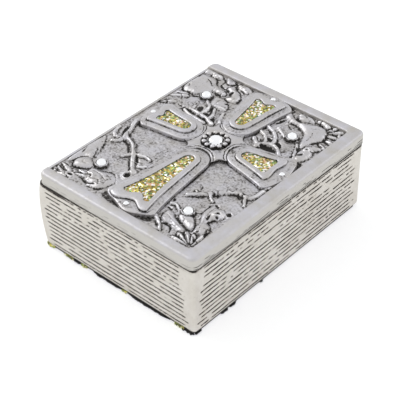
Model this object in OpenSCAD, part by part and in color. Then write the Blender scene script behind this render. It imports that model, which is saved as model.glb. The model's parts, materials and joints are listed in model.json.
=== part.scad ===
// Rosary box cast as a closed book, with a flared cross on its cover.
// Millimetres. The origin is the centre of the rest face under the box, +Z is up,
// +X points to the page edges, -X to the rounded spine and +Y to the head of the cross.

/* [Box] */
// Width of the cover, from its spine edge to its page edge
cover_w = 76; // [70:0.5:90]
// Depth of the cover, along the spine
cover_d = 98.2; // [90:0.2:120]
// Height of the cover's rim above the table
rim_z = 35.4; // [30:0.2:50]
// Height of the cover's side
cover_side = 5; // [4.6:0.1:7]
// Open line between the cover and the base
seam = 0.3; // [0.25:0.05:0.6]
// Radius of the cover's corners, seen from above
cover_corner_r = 2.8; // [1.5:0.1:5]
// Radius of the rounding along the cover's upper edge
cover_edge_r = 2.2; // [1:0.1:2.6]
// Radius of the rounding along the cover's lower edge
cover_lip_r = 0.5; // [0.2:0.1:0.8]

/* [Base] */
// How far the base's page sides stand back under the cover
page_inset = 0.5; // [0.2:0.1:1.5]
// Thickness of the page-side walls
wall = 2.4; // [1.8:0.1:3.5]
// Thickness of the floor
floor_t = 2.2; // [1.6:0.1:4]
// Radius of the base's upright corners
base_corner_r = 2.2; // [1:0.1:4]
// Radius of the rounding along the base's lower edge
foot_r = 1; // [0.4:0.1:1.6]
// Radius of the upright corners inside the base
inner_corner_r = 2; // [1:0.1:5]

/* [Spine] */
// How far the spine stands out past the cover at its crown
spine_crown = 3.7; // [2.4:0.1:5]
// How far the spine stands out past the cover at its upper and lower ends
spine_end = 1.6; // [1.2:0.1:2.2]
// Height of the crown above the table
spine_crown_z = 17; // [13:0.5:20]
// Thickness of the metal between the hinge line and the inside of the box
spine_wall = 3; // [2.6:0.1:5]
// Drop of the spine's shoulder behind the hinge line
shoulder_drop = 1.2; // [0.9:0.1:2]
// How far the shoulder's slope starts inside the hinge line
shoulder_in = 0.6; // [0.4:0.1:1]

/* [Pages] */
// Distance from one engraved page line to the next
page_pitch = 2.05; // [1.5:0.05:4]
// Height of an engraved page line
page_line = 0.35; // [0.2:0.05:0.6]
// Depth of an engraved page line
page_depth = 0.3; // [0.15:0.05:0.6]
// Plain metal above the foot and below the seam
page_margin = 2.2; // [1.5:0.1:5]
// Plain metal between the page lines and an upright corner
page_corner_gap = 3.2; // [2.5:0.1:8]

/* [Hinge] */
// Diameter of the hinge pins
pin_d = 1.3; // [1:0.1:1.8]
// Outer diameter of the knuckles
knuckle_d = 3.2; // [2.8:0.1:3.6]
// Length of each of the base's knuckles
base_knuckle_len = 5.5; // [4:0.1:10]
// Length of each of the cover's knuckles
cover_knuckle_len = 6.4; // [4:0.1:12]
// Distance from the end of the spine to the middle of a hinge
hinge_end = 22.1; // [14:0.1:32]
// Gap between neighbouring knuckles, and round a knuckle in its notch
hinge_gap = 0.3; // [0.25:0.05:0.5]
// Running clearance of a pin in the cover's knuckle, on the radius
pin_clearance = 0.05; // [0.02:0.01:0.1]
// How far a pin stops short of the outer knuckles' ends
pin_recess = 0.2; // [0:0.1:1]

/* [Closure] */
// Diameter of the closing magnets
magnet_d = 4; // [3:0.5:5]
// Thickness of the closing magnets
magnet_t = 1.4; // [1:0.1:1.6]
// Metal around a magnet in its boss
magnet_wall = 1; // [0.8:0.1:2]
// Metal between the boss and the page side
magnet_skin = 0.6; // [0.4:0.1:2]
// Clearance round a magnet, and its drop below the face
magnet_clearance = 0.05; // [0.02:0.01:0.1]

/* [Linings] */
// Thickness of the felt under the base
pad_t = 1; // [0.5:0.1:2]
// How far the felt stands back from the base's sides
pad_inset = 0.7; // [0.4:0.1:3]
// Thickness of the velvet on the floor
floor_lining_t = 1.2; // [0.6:0.1:3]
// Thickness of the velvet under the cover
cover_lining_t = 0.8; // [0.4:0.1:1.2]
// Clearance round both velvet linings
lining_gap = 0.3; // [0.1:0.1:1]

/* [Cover panel] */
// Width of the raised rim in front of the panel and behind it
rim_w = 4.6; // [3:0.1:7]
// Width of the raised rim on the page side
page_rim_w = 5.4; // [4:0.1:8]
// Width of the low lip along the spine, where the panel has no rim
lip_w = 1; // [0.6:0.1:2]
// Height of the lip above the panel
lip_h = 0.4; // [0.2:0.1:0.8]
// Depth of the panel below the rim
panel_depth = 1.5; // [1:0.1:1.8]
// Metal under the panel
cover_skin = 1.3; // [1:0.1:1.5]
// Thickness of the cover's side walls
cover_wall = 4.6; // [4:0.1:8]
// Radius of the panel's corners
panel_corner_r = 1.2; // [0.5:0.1:4]

/* [Cross] */
// Centre of the cross, towards the page edge from the middle of the cover
cross_x = -0.7; // [-3:0.1:3]
// Centre of the cross, towards the head from the middle of the cover
cross_y = 6.8; // [0:0.1:12]
// Turn of the cross on the panel, in degrees
cross_turn = 1.2; // [0:0.1:3]
// How far the foot leans from the line of the cross, in degrees
foot_lean = -1.2; // [-3:0.1:3]
// How far the head leans from the line of the cross, in degrees
head_lean = 1; // [-3:0.1:3]
// Height of the lower step of the cross above the panel
step_h = 1.5; // [0.8:0.1:2]
// Height of the upper step of the cross above the panel
arm_h = 2.7; // [2.2:0.1:3.4]
// Width of the upper step round an inlay
arm_frame = 2.3; // [1.5:0.1:3.5]
// Width of the lower step outside the upper one
step_w = 2.3; // [1:0.1:3]
// Distance from the centre to an inlay's inner end
inlay_start = 13; // [12:0.1:15]
// Half width of an inlay at its inner end
inlay_half_in = 2.2; // [1.5:0.1:3]
// Half width of the foot's inlay at its outer end
foot_half = 6; // [3:0.1:8]
// Half width of the head's inlay at its outer end
head_half = 4.7; // [3:0.1:7]
// Half width of the left inlay at its outer end
left_half = 3.6; // [3:0.1:6]
// Half width of the right inlay at its outer end
right_half = 4.5; // [3:0.1:6]
// Depth of the notch in the foot's outer end
foot_notch = 2; // [0:0.1:3]
// Depth of the notch in the head's and the left arm's outer ends
arm_notch = 1.1; // [0:0.1:2]
// Depth of the notch in the right arm's outer end
right_notch = 0.3; // [0:0.1:2]
// Extra metal between the right arm's inlay and its crystal
right_extra = 0.7; // [0:0.1:2]
// Depth of an inlay's pocket
inlay_pocket = 1; // [0.6:0.1:1.2]
// Thickness of an inlay
inlay_t = 0.7; // [0.4:0.1:0.9]
// Clearance round an inlay and a crystal in its seat
seat_gap = 0.05; // [0.02:0.01:0.1]
// Half the side of the hub between the arms
hub_half = 10.2; // [8:0.1:12]
// Height of the hub above the panel
hub_h = 2; // [1.6:0.1:2.6]
// Open groove between the hub and the arms' round ends
hub_groove = 0.8; // [0.4:0.1:1.5]

/* [Crystals] */
// Diameter of the crystal at the centre of the cross
centre_d = 6.2; // [4:0.1:8]
// Diameter of the crystals at the corners
corner_d = 4; // [3:0.1:5]
// Diameter of the crystals at the ends of the arms
arm_crystal_d = 2.3; // [1.6:0.1:3]
// Metal round a crystal in its cup
cup_wall = 0.6; // [0.4:0.1:1.2]
// Height of the corner cups above the panel
corner_cup_h = 1.3; // [1:0.1:2.2]
// Height of the centre cup above the hub
centre_cup_h = 0.2; // [0.1:0.1:0.8]
// Depth of the ring sunk into the hub for the beads
bead_ring_depth = 0.6; // [0.3:0.1:1]
// Diameter of the beads round the centre crystal
bead_d = 2.1; // [1.4:0.1:2.6]
// Number of beads round the centre crystal
bead_count = 11; // [8:1:14]
// Spine edge of the cover to the middle of the crystal on the left arm
left_crystal_edge = 5.8; // [4.4:0.1:9]
// Page edge of the cover to the middle of the crystal on the right arm
right_crystal_edge = 7.5; // [7.1:0.1:11]
// Back edge of the cover to the middle of the crystal on the head
head_crystal_edge = 6.3; // [6.3:0.1:10]
// Front edge of the cover to the middle of the crystal on the foot
foot_crystal_edge = 8; // [6.3:0.1:11]
// Spine edge of the cover to the middle of the corner crystals
spine_corner_edge = 13.4; // [12:0.1:18]
// Page edge of the cover to the middle of the corner crystals
page_corner_edge = 19.6; // [19:0.1:22]
// Front edge of the cover to the middle of the corner crystals
front_corner_edge = 19.4; // [18.6:0.1:24]
// Back edge of the cover to the middle of the corner crystals
back_corner_edge = 20.4; // [19.6:0.1:24]

/* [Vines] */
// Height of the leaves above the panel
leaf_h = 1.3; // [0.8:0.1:1.4]
// Height of the stems above the panel
stem_h = 1.1; // [0.6:0.1:1.6]
// Width of the stems
stem_w = 1.8; // [1:0.1:3]

/* [Hidden] */

// Heights, from the table up
base_top = rim_z - cover_side - seam;
cover_bottom = rim_z - cover_side;
cavity_z = pad_t + floor_t;
panel_z = rim_z - panel_depth;
recess_top = panel_z - cover_skin;
step_z = panel_z + step_h;
hub_z = panel_z + hub_h;
corner_cup_z = panel_z + corner_cup_h;
centre_cup_z = hub_z + centre_cup_h;
arm_z = panel_z + arm_h;
pocket_z = arm_z - inlay_pocket;

// Outlines, seen from above
page_x = cover_w / 2 - page_inset;
base_half_d = cover_d / 2 - page_inset;
hinge_x = -cover_w / 2;
hinge_z = base_top + seam / 2;
spine_x = hinge_x - spine_crown;
cavity_left = hinge_x + spine_wall;
cavity_right = page_x - wall;
cavity_half_d = base_half_d - wall;
recess_half_w = cover_w / 2 - cover_wall;
recess_half_d = cover_d / 2 - cover_wall;
panel_left = -cover_w / 2 + lip_w;
panel_right = cover_w / 2 - page_rim_w;
panel_half_d = cover_d / 2 - rim_w;

// Hinge
hinge_offset = cover_d / 2 - hinge_end;
hinge_len = 2 * base_knuckle_len + cover_knuckle_len + 2 * hinge_gap;
notch_r = knuckle_d / 2 + hinge_gap;

// Magnet boss, one stack on the page side
boss_r = magnet_d / 2 + magnet_wall;
boss_x = page_x - magnet_skin - boss_r;
magnet_pocket_r = magnet_d / 2 + magnet_clearance;
magnet_pocket_t = magnet_t + magnet_clearance;

// Seat depth, girdle height, whole height and table of a crystal, as shares of its diameter
CRYSTAL_SEAT = 0.15;
CRYSTAL_GIRDLE = 0.12;
CRYSTAL_HEIGHT = 0.42;
CRYSTAL_TABLE = 0.55;

// Distances from the centre of the cross to the crystals on its arms
foot_reach = cover_d / 2 + cross_y - foot_crystal_edge;
head_reach = cover_d / 2 - cross_y - head_crystal_edge;
left_reach = cover_w / 2 + cross_x - left_crystal_edge;
right_reach = cover_w / 2 - cross_x - right_crystal_edge;

// Metal from an inlay's outer end to the crystal beyond it
inlay_to_crystal = arm_frame + arm_crystal_d / 2 + cup_wall;
// Metal beyond the crystal on an arm
step_past_crystal = arm_crystal_d / 2 + cup_wall;

// Where each arm's inlay ends, from the centre of the cross
foot_outer = foot_reach - inlay_to_crystal;
head_outer = head_reach - inlay_to_crystal;
left_outer = left_reach - inlay_to_crystal;
right_outer = right_reach - inlay_to_crystal - right_extra;

// Middles of the corner crystals
crystal_left = -cover_w / 2 + spine_corner_edge;
crystal_right = cover_w / 2 - page_corner_edge;
crystal_front = -cover_d / 2 + front_corner_edge;
crystal_back = cover_d / 2 - back_corner_edge;

// The arms: turn, where the inlay ends, where the crystal sits, half width, notch
ARMS = [
  [0, right_outer, right_reach, right_half, right_notch],
  [90 + head_lean, head_outer, head_reach, head_half, arm_notch],
  [180, left_outer, left_reach, left_half, arm_notch],
  [270 + foot_lean, foot_outer, foot_reach, foot_half, foot_notch]
];

// Outlines of the leaves round each corner's crystal, chosen by hand, from its middle
FRONT_LEFT_LEAVES = [
  [[-5.7, 5.9], [-7.8, 6.9], [-10.3, 5.8], [-11.7, 3.8], [-11.3, 1.2], [-10.6, -0.8], [-11, -3.8],
    [-10.1, -6.8], [-7.6, -8.5], [-4.6, -8.2], [-1.8, -6.7], [0.6, -4.8], [0, -2.6], [-2.6, -1.6],
    [-4, 0], [-4.9, 2.4]],
  [[-3.2, -8.2], [0.8, -7.2], [4.4, -7.2], [7.4, -8.8], [7.8, -11.2], [5.8, -12.6], [2.8, -12.2],
    [-0.4, -10.8], [-2.8, -10.4]],
  [[-10.2, -9.2], [-7.2, -10.2], [-5.8, -12.2], [-6.8, -13.7], [-9.6, -13.7], [-11.2, -11.6]]
];
FRONT_RIGHT_LEAVES = [
  [[0.4, -1.8], [2.4, 0.8], [4.4, -0.2], [6.4, -2.2], [7.9, -4.6], [7.6, -6.7], [5.7, -7.5],
    [3, -6.7], [0.7, -5.2], [-0.6, -3.8]],
  [[4.4, 8.3], [6.9, 9], [10, 9.3], [12.2, 8.8], [11.4, 6.8], [9.8, 5.4], [8.2, 3.3], [7.9, 0.4],
    [9, -2.2], [11.4, -2.6], [12.4, -5.2], [11, -7.7], [8.7, -7.3], [8.3, -4.2], [6.4, -1.2],
    [4.8, 1.2], [3.9, 4.2]],
  [[-5.6, -5.8], [-2, -5.2], [1.4, -6.2], [4.4, -8], [7.6, -8.4], [9, -11.6], [6.4, -12.8],
    [3.6, -11.2], [0.4, -9.4], [-2.4, -9.2], [-4.2, -10.2], [-5.4, -8.7]]
];
BACK_LEFT_LEAVES = [
  [[-2.7, 0.6], [-5.2, -0.9], [-8.2, -0.9], [-10.7, 0.9], [-11.7, 4.4], [-10.4, 8], [-8.4, 10.5],
    [-5.4, 11.4], [-2.8, 11.5], [-1.4, 9], [1.6, 7.8], [4.1, 7.5], [5.2, 5.5], [3.6, 4.4],
    [0.6, 3.9], [-1.8, 2.5]],
  [[0.6, 12], [3.6, 13.4], [6.2, 12.4], [8.7, 10.5], [10.2, 9], [9.1, 7.4], [6.6, 8.4], [4.2, 9.9],
    [1.8, 10.4]],
  [[2.6, 2.4], [5.6, 2.9], [8.1, 2.4], [11.1, 1.9], [12.6, -0.6], [11.6, -2.6], [8.7, -3.1],
    [5.6, -2.6], [3.1, -2.1]]
];
BACK_RIGHT_LEAVES = [
  [[-9.6, 11.8], [-7.2, 9.7], [-4.2, 8.7], [-1.2, 7.7], [1.9, 6.4], [4.4, 5.4], [7.4, 6.4],
    [9.4, 8.4], [8.9, 10.8], [6.4, 11.8], [2.9, 12.4], [0.4, 11.2], [-2.6, 9.9], [-5.6, 10.5],
    [-7.7, 12.4]],
  [[2.4, 4.9], [4.9, 4.9], [7.9, 4.4], [9.4, 1.9], [8.7, -1.1], [8.4, -3.6], [6.4, -4.6],
    [4.9, -2.1], [3.4, 0.9], [2.4, 2.9]],
  [[9.8, 12.6], [12, 12], [13.2, 9], [12.4, 5], [10.8, 3.4], [10.4, 6], [11, 8.6], [10.2, 10.6]]
];

// The corners: middle of the crystal, and the leaves round it
CORNERS = [
  [[crystal_left, crystal_front], FRONT_LEFT_LEAVES],
  [[crystal_right, crystal_front], FRONT_RIGHT_LEAVES],
  [[crystal_left, crystal_back], BACK_LEFT_LEAVES],
  [[crystal_right, crystal_back], BACK_RIGHT_LEAVES]
];

// The stems, along points chosen by hand as shares of the cover's half width and half depth
STEMS = [
  [[-0.82, 0.05], [-0.86, 0.09], [-0.9, 0.07], [-0.87, -0.04], [-0.83, -0.13], [-0.8, -0.21],
    [-0.72, -0.24], [-0.64, -0.26], [-0.58, -0.31], [-0.51, -0.36], [-0.45, -0.41], [-0.39, -0.47],
    [-0.32, -0.53]],
  [[-0.79, -0.23], [-0.79, -0.29], [-0.86, -0.34]],
  [[-0.51, -0.36], [-0.45, -0.34], [-0.36, -0.32]],
  [[-0.51, -0.36], [-0.55, -0.4], [-0.6, -0.44]],
  [[0.8, -0.04], [0.79, -0.15], [0.72, -0.19], [0.63, -0.21], [0.54, -0.27], [0.45, -0.36],
    [0.37, -0.42], [0.28, -0.47]],
  [[0.46, -0.35], [0.51, -0.39], [0.58, -0.42]],
  [[0.72, -0.2], [0.78, -0.26]],
  [[0.25, -0.06], [0.37, -0.06], [0.46, -0.02], [0.53, -0.05]],
  [[-0.67, 0.36], [-0.55, 0.36], [-0.45, 0.35], [-0.31, 0.34]],
  [[-0.53, 0.51], [-0.49, 0.44], [-0.5, 0.36]],
  [[-0.45, 0.52], [-0.39, 0.44], [-0.37, 0.35]],
  [[0.3, 0.31], [0.34, 0.37], [0.41, 0.41], [0.49, 0.4], [0.55, 0.34]],
  [[0.21, 0.55], [0.32, 0.51], [0.37, 0.44], [0.38, 0.4]],
  [[0.21, 0.42], [0.28, 0.38], [0.33, 0.35]],
  [[0.65, 0.42], [0.74, 0.37], [0.77, 0.31], [0.82, 0.24]]
];

// Rounding of the arms' outer corners
END_ROUND = 1.4;
// How deep the beads sit in the metal
bead_sink = 0.25;

// Number of straight runs in a quarter round, and in the arms' shaped ends
ROUND_STEPS = 6;
END_STEPS = 16;
EPS = 0.01;
// Length past which a cut leaves the part on both sides
PAST = 1;

// Points of a quarter round about a centre, from one angle to another
function arc(cx, cy, r, a0, a1, steps = ROUND_STEPS) =
  [for (i = [0 : steps]) let (a = a0 + (a1 - a0) * i / steps) [cx + r * cos(a), cy + r * sin(a)]];

// Outline of a rectangle with round corners
function round_rect(x0, x1, half_d, r) = concat(
  arc(x1 - r, half_d - r, r, 0, 90),
  arc(x0 + r, half_d - r, r, 90, 180),
  arc(x0 + r, -half_d + r, r, 180, 270),
  arc(x1 - r, -half_d + r, r, 270, 360));

// Where the spine's face lies at a height
function spine_at(z) =
  let (half = max(spine_crown_z - pad_t, base_top - spine_crown_z),
       t = (z - spine_crown_z) / half)
  hinge_x - spine_end - (spine_crown - spine_end) * (1 - t * t);

// Slope of an arm's side against its middle line
function arm_slope(outer, half_out) =
  atan2(half_out - inlay_half_in, outer - inlay_start - inlay_half_in);

// Outline of an arm that points along +X: a round inner end, straight flared sides and a
// shaped outer end. grow widens the inlay's outline, end is where the outer end lies.
function arm_outline(outer, half_out, grow, end, notch, corner) =
  let (slope = arm_slope(outer, half_out),
       r = inlay_half_in + grow,
       mid = inlay_start + inlay_half_in,
       start_s = mid - r * sin(slope),
       start_t = r * cos(slope),
       end_t = start_t + (end - start_s) * tan(slope))
  concat(
    arc(mid, 0, r, 90 + slope, 270 - slope, 2 * ROUND_STEPS),
    [for (i = [0 : END_STEPS])
      let (u = 2 * i / END_STEPS - 1)
      [end - notch * (1 + cos(180 * u)) / 2 - corner * pow(abs(u), 8), u * end_t]]);

// Outline of a stem of even width along points chosen by hand
function stem_outline(p, w) =
  let (n = len(p) - 1,
       dir = [for (i = [0 : n])
         let (d = p[min(i + 1, n)] - p[max(i - 1, 0)]) d / norm(d)],
       half = [for (i = [0 : n]) w / 2 * (1 - 0.5 * i / n)])
  concat(
    [for (i = [0 : n]) p[i] + half[i] * [-dir[i][1], dir[i][0]]],
    [for (i = [n : -1 : 0]) p[i] - half[i] * [-dir[i][1], dir[i][0]]]);

// A block across the box with the section given in X and Z
module along_y(section, length) {
  rotate([90, 0, 0])
    translate([0, 0, -length / 2])
      linear_extrude(length)
        polygon(section);
}

// A block along the box with the section given in Y and Z
module along_x(section, length, middle) {
  translate([middle - length / 2, 0, 0])
    rotate([90, 0, 90])
      linear_extrude(length)
        polygon(section);
}

// A round bar on the hinge line, with its middle at y
module on_hinge_line(r, length, y) {
  translate([hinge_x, y, hinge_z])
    rotate([90, 0, 0])
      cylinder(r = r, h = length, center = true, $fn = 48);
}

// Everything in it is placed and turned with the cross
module on_cross() {
  translate([cross_x, cross_y, 0])
    rotate([0, 0, cross_turn])
      children();
}

// The outside of the base: the plan, the spine's section and the rounded foot together
module base_block() {
  spine_steps = 18;
  shoulder_z = base_top - shoulder_drop;
  spine_section = concat(
    [[page_x, base_top], [hinge_x + shoulder_in, base_top]],
    [for (i = [0 : spine_steps])
      let (z = shoulder_z - (shoulder_z - pad_t - foot_r) * i / spine_steps)
      [spine_at(z), z]],
    [[spine_at(pad_t) + foot_r, pad_t]],
    arc(page_x - foot_r, pad_t + foot_r, foot_r, 270, 360));
  side_section = concat(
    [[base_half_d, base_top], [-base_half_d, base_top]],
    arc(-base_half_d + foot_r, pad_t + foot_r, foot_r, 180, 270),
    arc(base_half_d - foot_r, pad_t + foot_r, foot_r, 270, 360));
  intersection() {
    translate([0, 0, pad_t])
      linear_extrude(base_top - pad_t)
        polygon(round_rect(spine_x, page_x, base_half_d, base_corner_r));
    along_y(spine_section, 2 * base_half_d + PAST);
    along_x(side_section, page_x - spine_x + PAST, (page_x + spine_x) / 2);
  }
}

// Engraved lines of the page edges, on the front, the back and the page side
module page_lines() {
  first = pad_t + page_margin;
  last = base_top - page_margin - page_line;
  count = floor((last - first) / page_pitch);
  line_left = hinge_x + page_corner_gap;
  line_w = page_x - page_corner_gap - line_left;
  line_half_d = base_half_d - page_corner_gap;
  for (i = [0 : count])
    translate([0, 0, first + i * page_pitch]) {
      translate([line_left, -base_half_d + page_depth - PAST, 0])
        cube([line_w, PAST, page_line]);
      translate([line_left, base_half_d - page_depth, 0])
        cube([line_w, PAST, page_line]);
      translate([page_x - page_depth, -line_half_d, 0])
        cube([PAST, 2 * line_half_d, page_line]);
    }
}

// The base's knuckles, two to each hinge
module base_knuckles() {
  knuckle_y = (cover_knuckle_len + base_knuckle_len) / 2 + hinge_gap;
  for (hinge = [-1, 1])
    for (side = [-1, 1])
      on_hinge_line(knuckle_d / 2, base_knuckle_len, hinge * hinge_offset + side * knuckle_y);
}

// Room for the base's knuckles in the cover
module base_knuckle_notches() {
  knuckle_y = (cover_knuckle_len + base_knuckle_len) / 2 + hinge_gap;
  for (hinge = [-1, 1])
    for (side = [-1, 1])
      on_hinge_line(notch_r, base_knuckle_len + 2 * hinge_gap,
        hinge * hinge_offset + side * knuckle_y);
}

module base_body() {
  cavity_h = base_top - cavity_z + PAST;
  color([0.72, 0.71, 0.68])
  difference() {
    union() {
      difference() {
        base_block();
        page_lines();
        translate([0, 0, cavity_z])
          linear_extrude(cavity_h)
            polygon(round_rect(cavity_left, cavity_right, cavity_half_d, inner_corner_r));
        for (hinge = [-1, 1])
          on_hinge_line(notch_r, cover_knuckle_len + 2 * hinge_gap, hinge * hinge_offset);
      }
      translate([boss_x, 0, pad_t + floor_t / 2])
        cylinder(r = boss_r, h = base_top - pad_t - floor_t / 2, $fn = 48);
      base_knuckles();
    }
    for (hinge = [-1, 1])
      on_hinge_line(pin_d / 2, hinge_len, hinge * hinge_offset);
    translate([boss_x, 0, base_top - magnet_pocket_t])
      cylinder(r = magnet_pocket_r, h = magnet_pocket_t + PAST, $fn = 48);
  }
}

// The outside of the cover: the plan and both rounded sections together
module cover_block() {
  cross_section = concat(
    arc(cover_w / 2 - cover_edge_r, rim_z - cover_edge_r, cover_edge_r, 0, 90),
    arc(-cover_w / 2 + cover_edge_r, rim_z - cover_edge_r, cover_edge_r, 90, 180),
    arc(-cover_w / 2 + cover_lip_r, cover_bottom + cover_lip_r, cover_lip_r, 180, 270),
    arc(cover_w / 2 - cover_lip_r, cover_bottom + cover_lip_r, cover_lip_r, 270, 360));
  long_section = concat(
    arc(cover_d / 2 - cover_edge_r, rim_z - cover_edge_r, cover_edge_r, 0, 90),
    arc(-cover_d / 2 + cover_edge_r, rim_z - cover_edge_r, cover_edge_r, 90, 180),
    arc(-cover_d / 2 + cover_lip_r, cover_bottom + cover_lip_r, cover_lip_r, 180, 270),
    arc(cover_d / 2 - cover_lip_r, cover_bottom + cover_lip_r, cover_lip_r, 270, 360));
  intersection() {
    translate([0, 0, cover_bottom])
      linear_extrude(cover_side)
        polygon(round_rect(-cover_w / 2, cover_w / 2, cover_d / 2, cover_corner_r));
    along_y(cross_section, cover_d + PAST);
    along_x(long_section, cover_w + PAST, 0);
  }
}

// One raised outline on the panel, sunk a little into the metal under it
module raised(height, outline) {
  sink = cover_skin / 2;
  translate([0, 0, panel_z - sink])
    linear_extrude(height + sink)
      polygon(outline);
}

// Both steps of one arm of the cross
module arm_steps(outer, reach, half_out, notch) {
  raised(step_h, arm_outline(outer, half_out, arm_frame + step_w,
    reach + step_past_crystal, 0, END_ROUND));
  raised(arm_h, arm_outline(outer, half_out, arm_frame, outer + arm_frame, notch, END_ROUND / 2));
}

// An inlay's shape, with a gap taken off it all round
module inlay_shape(outer, half_out, notch, gap, height) {
  linear_extrude(height)
    polygon(arm_outline(outer, half_out, -gap, outer - gap, notch, END_ROUND / 2));
}

// The X between the arms, hollowed round their inner ends
module hub() {
  round_r = inlay_half_in + arm_frame + hub_groove;
  sink = cover_skin / 2;
  translate([0, 0, panel_z - sink])
    linear_extrude(hub_h + sink)
      difference() {
        square(2 * hub_half, center = true);
        for (a = [0 : 90 : 270])
          rotate(a)
            translate([inlay_start + inlay_half_in, 0])
              circle(r = round_r, $fn = 48);
      }
}

// The ring of beads and the cup of the centre crystal
module bead_ring() {
  cup_r = centre_d / 2 + cup_wall;
  ring_r = cup_r + bead_d / 2 - bead_sink;
  ring_z = hub_z - bead_ring_depth;
  translate([0, 0, ring_z - EPS])
    cylinder(r = cup_r, h = centre_cup_z - ring_z + EPS, $fn = 48);
  for (i = [0 : bead_count - 1])
    rotate([0, 0, i * 360 / bead_count])
      translate([ring_r, 0, ring_z + bead_d / 2 - bead_sink])
        sphere(d = bead_d, $fn = 24);
}

// The cross without its pockets
module cross_relief() {
  ring_outer = centre_d / 2 + cup_wall + bead_d;
  for (arm = ARMS)
    rotate([0, 0, arm[0]])
      arm_steps(arm[1], arm[2], arm[3], arm[4]);
  difference() {
    hub();
    translate([0, 0, hub_z - bead_ring_depth])
      cylinder(r = ring_outer, h = bead_ring_depth + PAST, $fn = 48);
  }
  bead_ring();
}

// The pockets of the inlays and of the crystals on the cross
module cross_pockets() {
  for (arm = ARMS)
    rotate([0, 0, arm[0]]) {
      translate([0, 0, pocket_z])
        inlay_shape(arm[1], arm[3], arm[4], 0, inlay_pocket + PAST);
      translate([arm[2], 0, 0])
        crystal_pocket(arm_crystal_d, step_z);
    }
  crystal_pocket(centre_d, centre_cup_z);
}

// A crystal's seat, cut down from the face that holds it
module crystal_pocket(d, face_z) {
  translate([0, 0, face_z - CRYSTAL_SEAT * d])
    cylinder(r = d / 2 + seat_gap, h = CRYSTAL_SEAT * d + PAST, $fn = 48);
}

// A flat-backed crystal, standing on the floor of its seat
module crystal(d, face_z) {
  color([0.9, 0.93, 0.96])
  translate([0, 0, face_z - CRYSTAL_SEAT * d])
    rotate_extrude($fn = 48)
      polygon([
        [0, 0], [d / 2, 0], [d / 2, CRYSTAL_GIRDLE * d],
        [CRYSTAL_TABLE * d / 2, CRYSTAL_HEIGHT * d], [0, CRYSTAL_HEIGHT * d]]);
}

// The vines: stems between the arms, and the leaves and the cups of the four corners
module vines() {
  for (stem = STEMS)
    raised(stem_h, stem_outline([for (p = stem) [p[0] * cover_w / 2, p[1] * cover_d / 2]], stem_w));
  for (c = CORNERS)
    translate(c[0]) {
      for (leaf = c[1])
        raised(leaf_h, leaf);
      translate([0, 0, panel_z - cover_skin / 2])
        cylinder(r = corner_d / 2 + cup_wall, h = corner_cup_h + cover_skin / 2, $fn = 48);
    }
}

module cover() {
  color([0.76, 0.77, 0.78])
  difference() {
    union() {
      difference() {
        cover_block();
        translate([0, 0, panel_z])
          linear_extrude(panel_depth + PAST)
            polygon(round_rect(panel_left, panel_right, panel_half_d, panel_corner_r));
        translate([0, 0, panel_z + lip_h])
          linear_extrude(panel_depth + PAST)
            polygon(round_rect(panel_left - lip_w - PAST, panel_right, panel_half_d, panel_corner_r));
        translate([0, 0, cover_bottom - PAST])
          linear_extrude(recess_top - cover_bottom + PAST)
            polygon(round_rect(-recess_half_w, recess_half_w, recess_half_d, inner_corner_r));
        base_knuckle_notches();
      }
      translate([boss_x, 0, cover_bottom])
        cylinder(r = boss_r, h = recess_top - cover_bottom + cover_skin / 2, $fn = 48);
      for (hinge = [-1, 1])
        on_hinge_line(knuckle_d / 2, cover_knuckle_len, hinge * hinge_offset);
      vines();
      on_cross() cross_relief();
    }
    on_cross() cross_pockets();
    for (c = CORNERS)
      translate([c[0][0], c[0][1], 0])
        crystal_pocket(corner_d, corner_cup_z);
    for (hinge = [-1, 1])
      on_hinge_line(pin_d / 2 + pin_clearance, cover_knuckle_len + hinge_gap, hinge * hinge_offset);
    translate([boss_x, 0, cover_bottom - PAST])
      cylinder(r = magnet_pocket_r, h = magnet_pocket_t + PAST, $fn = 48);
  }
}

// A pin through the three knuckles of one hinge
module hinge_pin(side) {
  color([0.6, 0.6, 0.62])
    on_hinge_line(pin_d / 2, hinge_len - 2 * pin_recess, side * hinge_offset);
}

// A closing magnet with its lower face at z
module magnet(z) {
  color([0.55, 0.55, 0.57])
    translate([boss_x, 0, z])
      cylinder(d = magnet_d, h = magnet_t, $fn = 48);
}

module base_pad() {
  pad_left = spine_at(pad_t) + pad_inset;
  pad_right = page_x - pad_inset;
  color([0.08, 0.08, 0.08])
    linear_extrude(pad_t)
      polygon(round_rect(pad_left, pad_right, base_half_d - pad_inset, base_corner_r));
}

module floor_lining() {
  color([0.06, 0.06, 0.07])
  difference() {
    translate([0, 0, cavity_z])
      linear_extrude(floor_lining_t)
        polygon(round_rect(cavity_left + lining_gap, cavity_right - lining_gap,
          cavity_half_d - lining_gap, inner_corner_r));
    translate([boss_x, 0, cavity_z - PAST])
      cylinder(r = boss_r + lining_gap, h = floor_lining_t + 2 * PAST, $fn = 48);
  }
}

module cover_lining() {
  lining_half_w = recess_half_w - lining_gap;
  color([0.06, 0.06, 0.07])
  difference() {
    translate([0, 0, recess_top - cover_lining_t])
      linear_extrude(cover_lining_t)
        polygon(round_rect(-lining_half_w, lining_half_w, recess_half_d - lining_gap, inner_corner_r));
    translate([boss_x, 0, recess_top - cover_lining_t - PAST])
      cylinder(r = boss_r + lining_gap, h = cover_lining_t + 2 * PAST, $fn = 48);
  }
}

// The glitter inlay of one arm, listed in ARMS
module inlay(arm) {
  color([0.82, 0.74, 0.32])
  on_cross()
    rotate([0, 0, arm[0]])
      translate([0, 0, pocket_z])
        inlay_shape(arm[1], arm[3], arm[4], seat_gap, inlay_t);
}

// The crystal at the end of one arm, listed in ARMS
module arm_crystal(arm) {
  on_cross()
    rotate([0, 0, arm[0]])
      translate([arm[2], 0, 0])
        crystal(arm_crystal_d, step_z);
}

// The crystal of one corner, listed in CORNERS
module corner_crystal(c) {
  translate([c[0][0], c[0][1], 0])
    crystal(corner_d, corner_cup_z);
}

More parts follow.
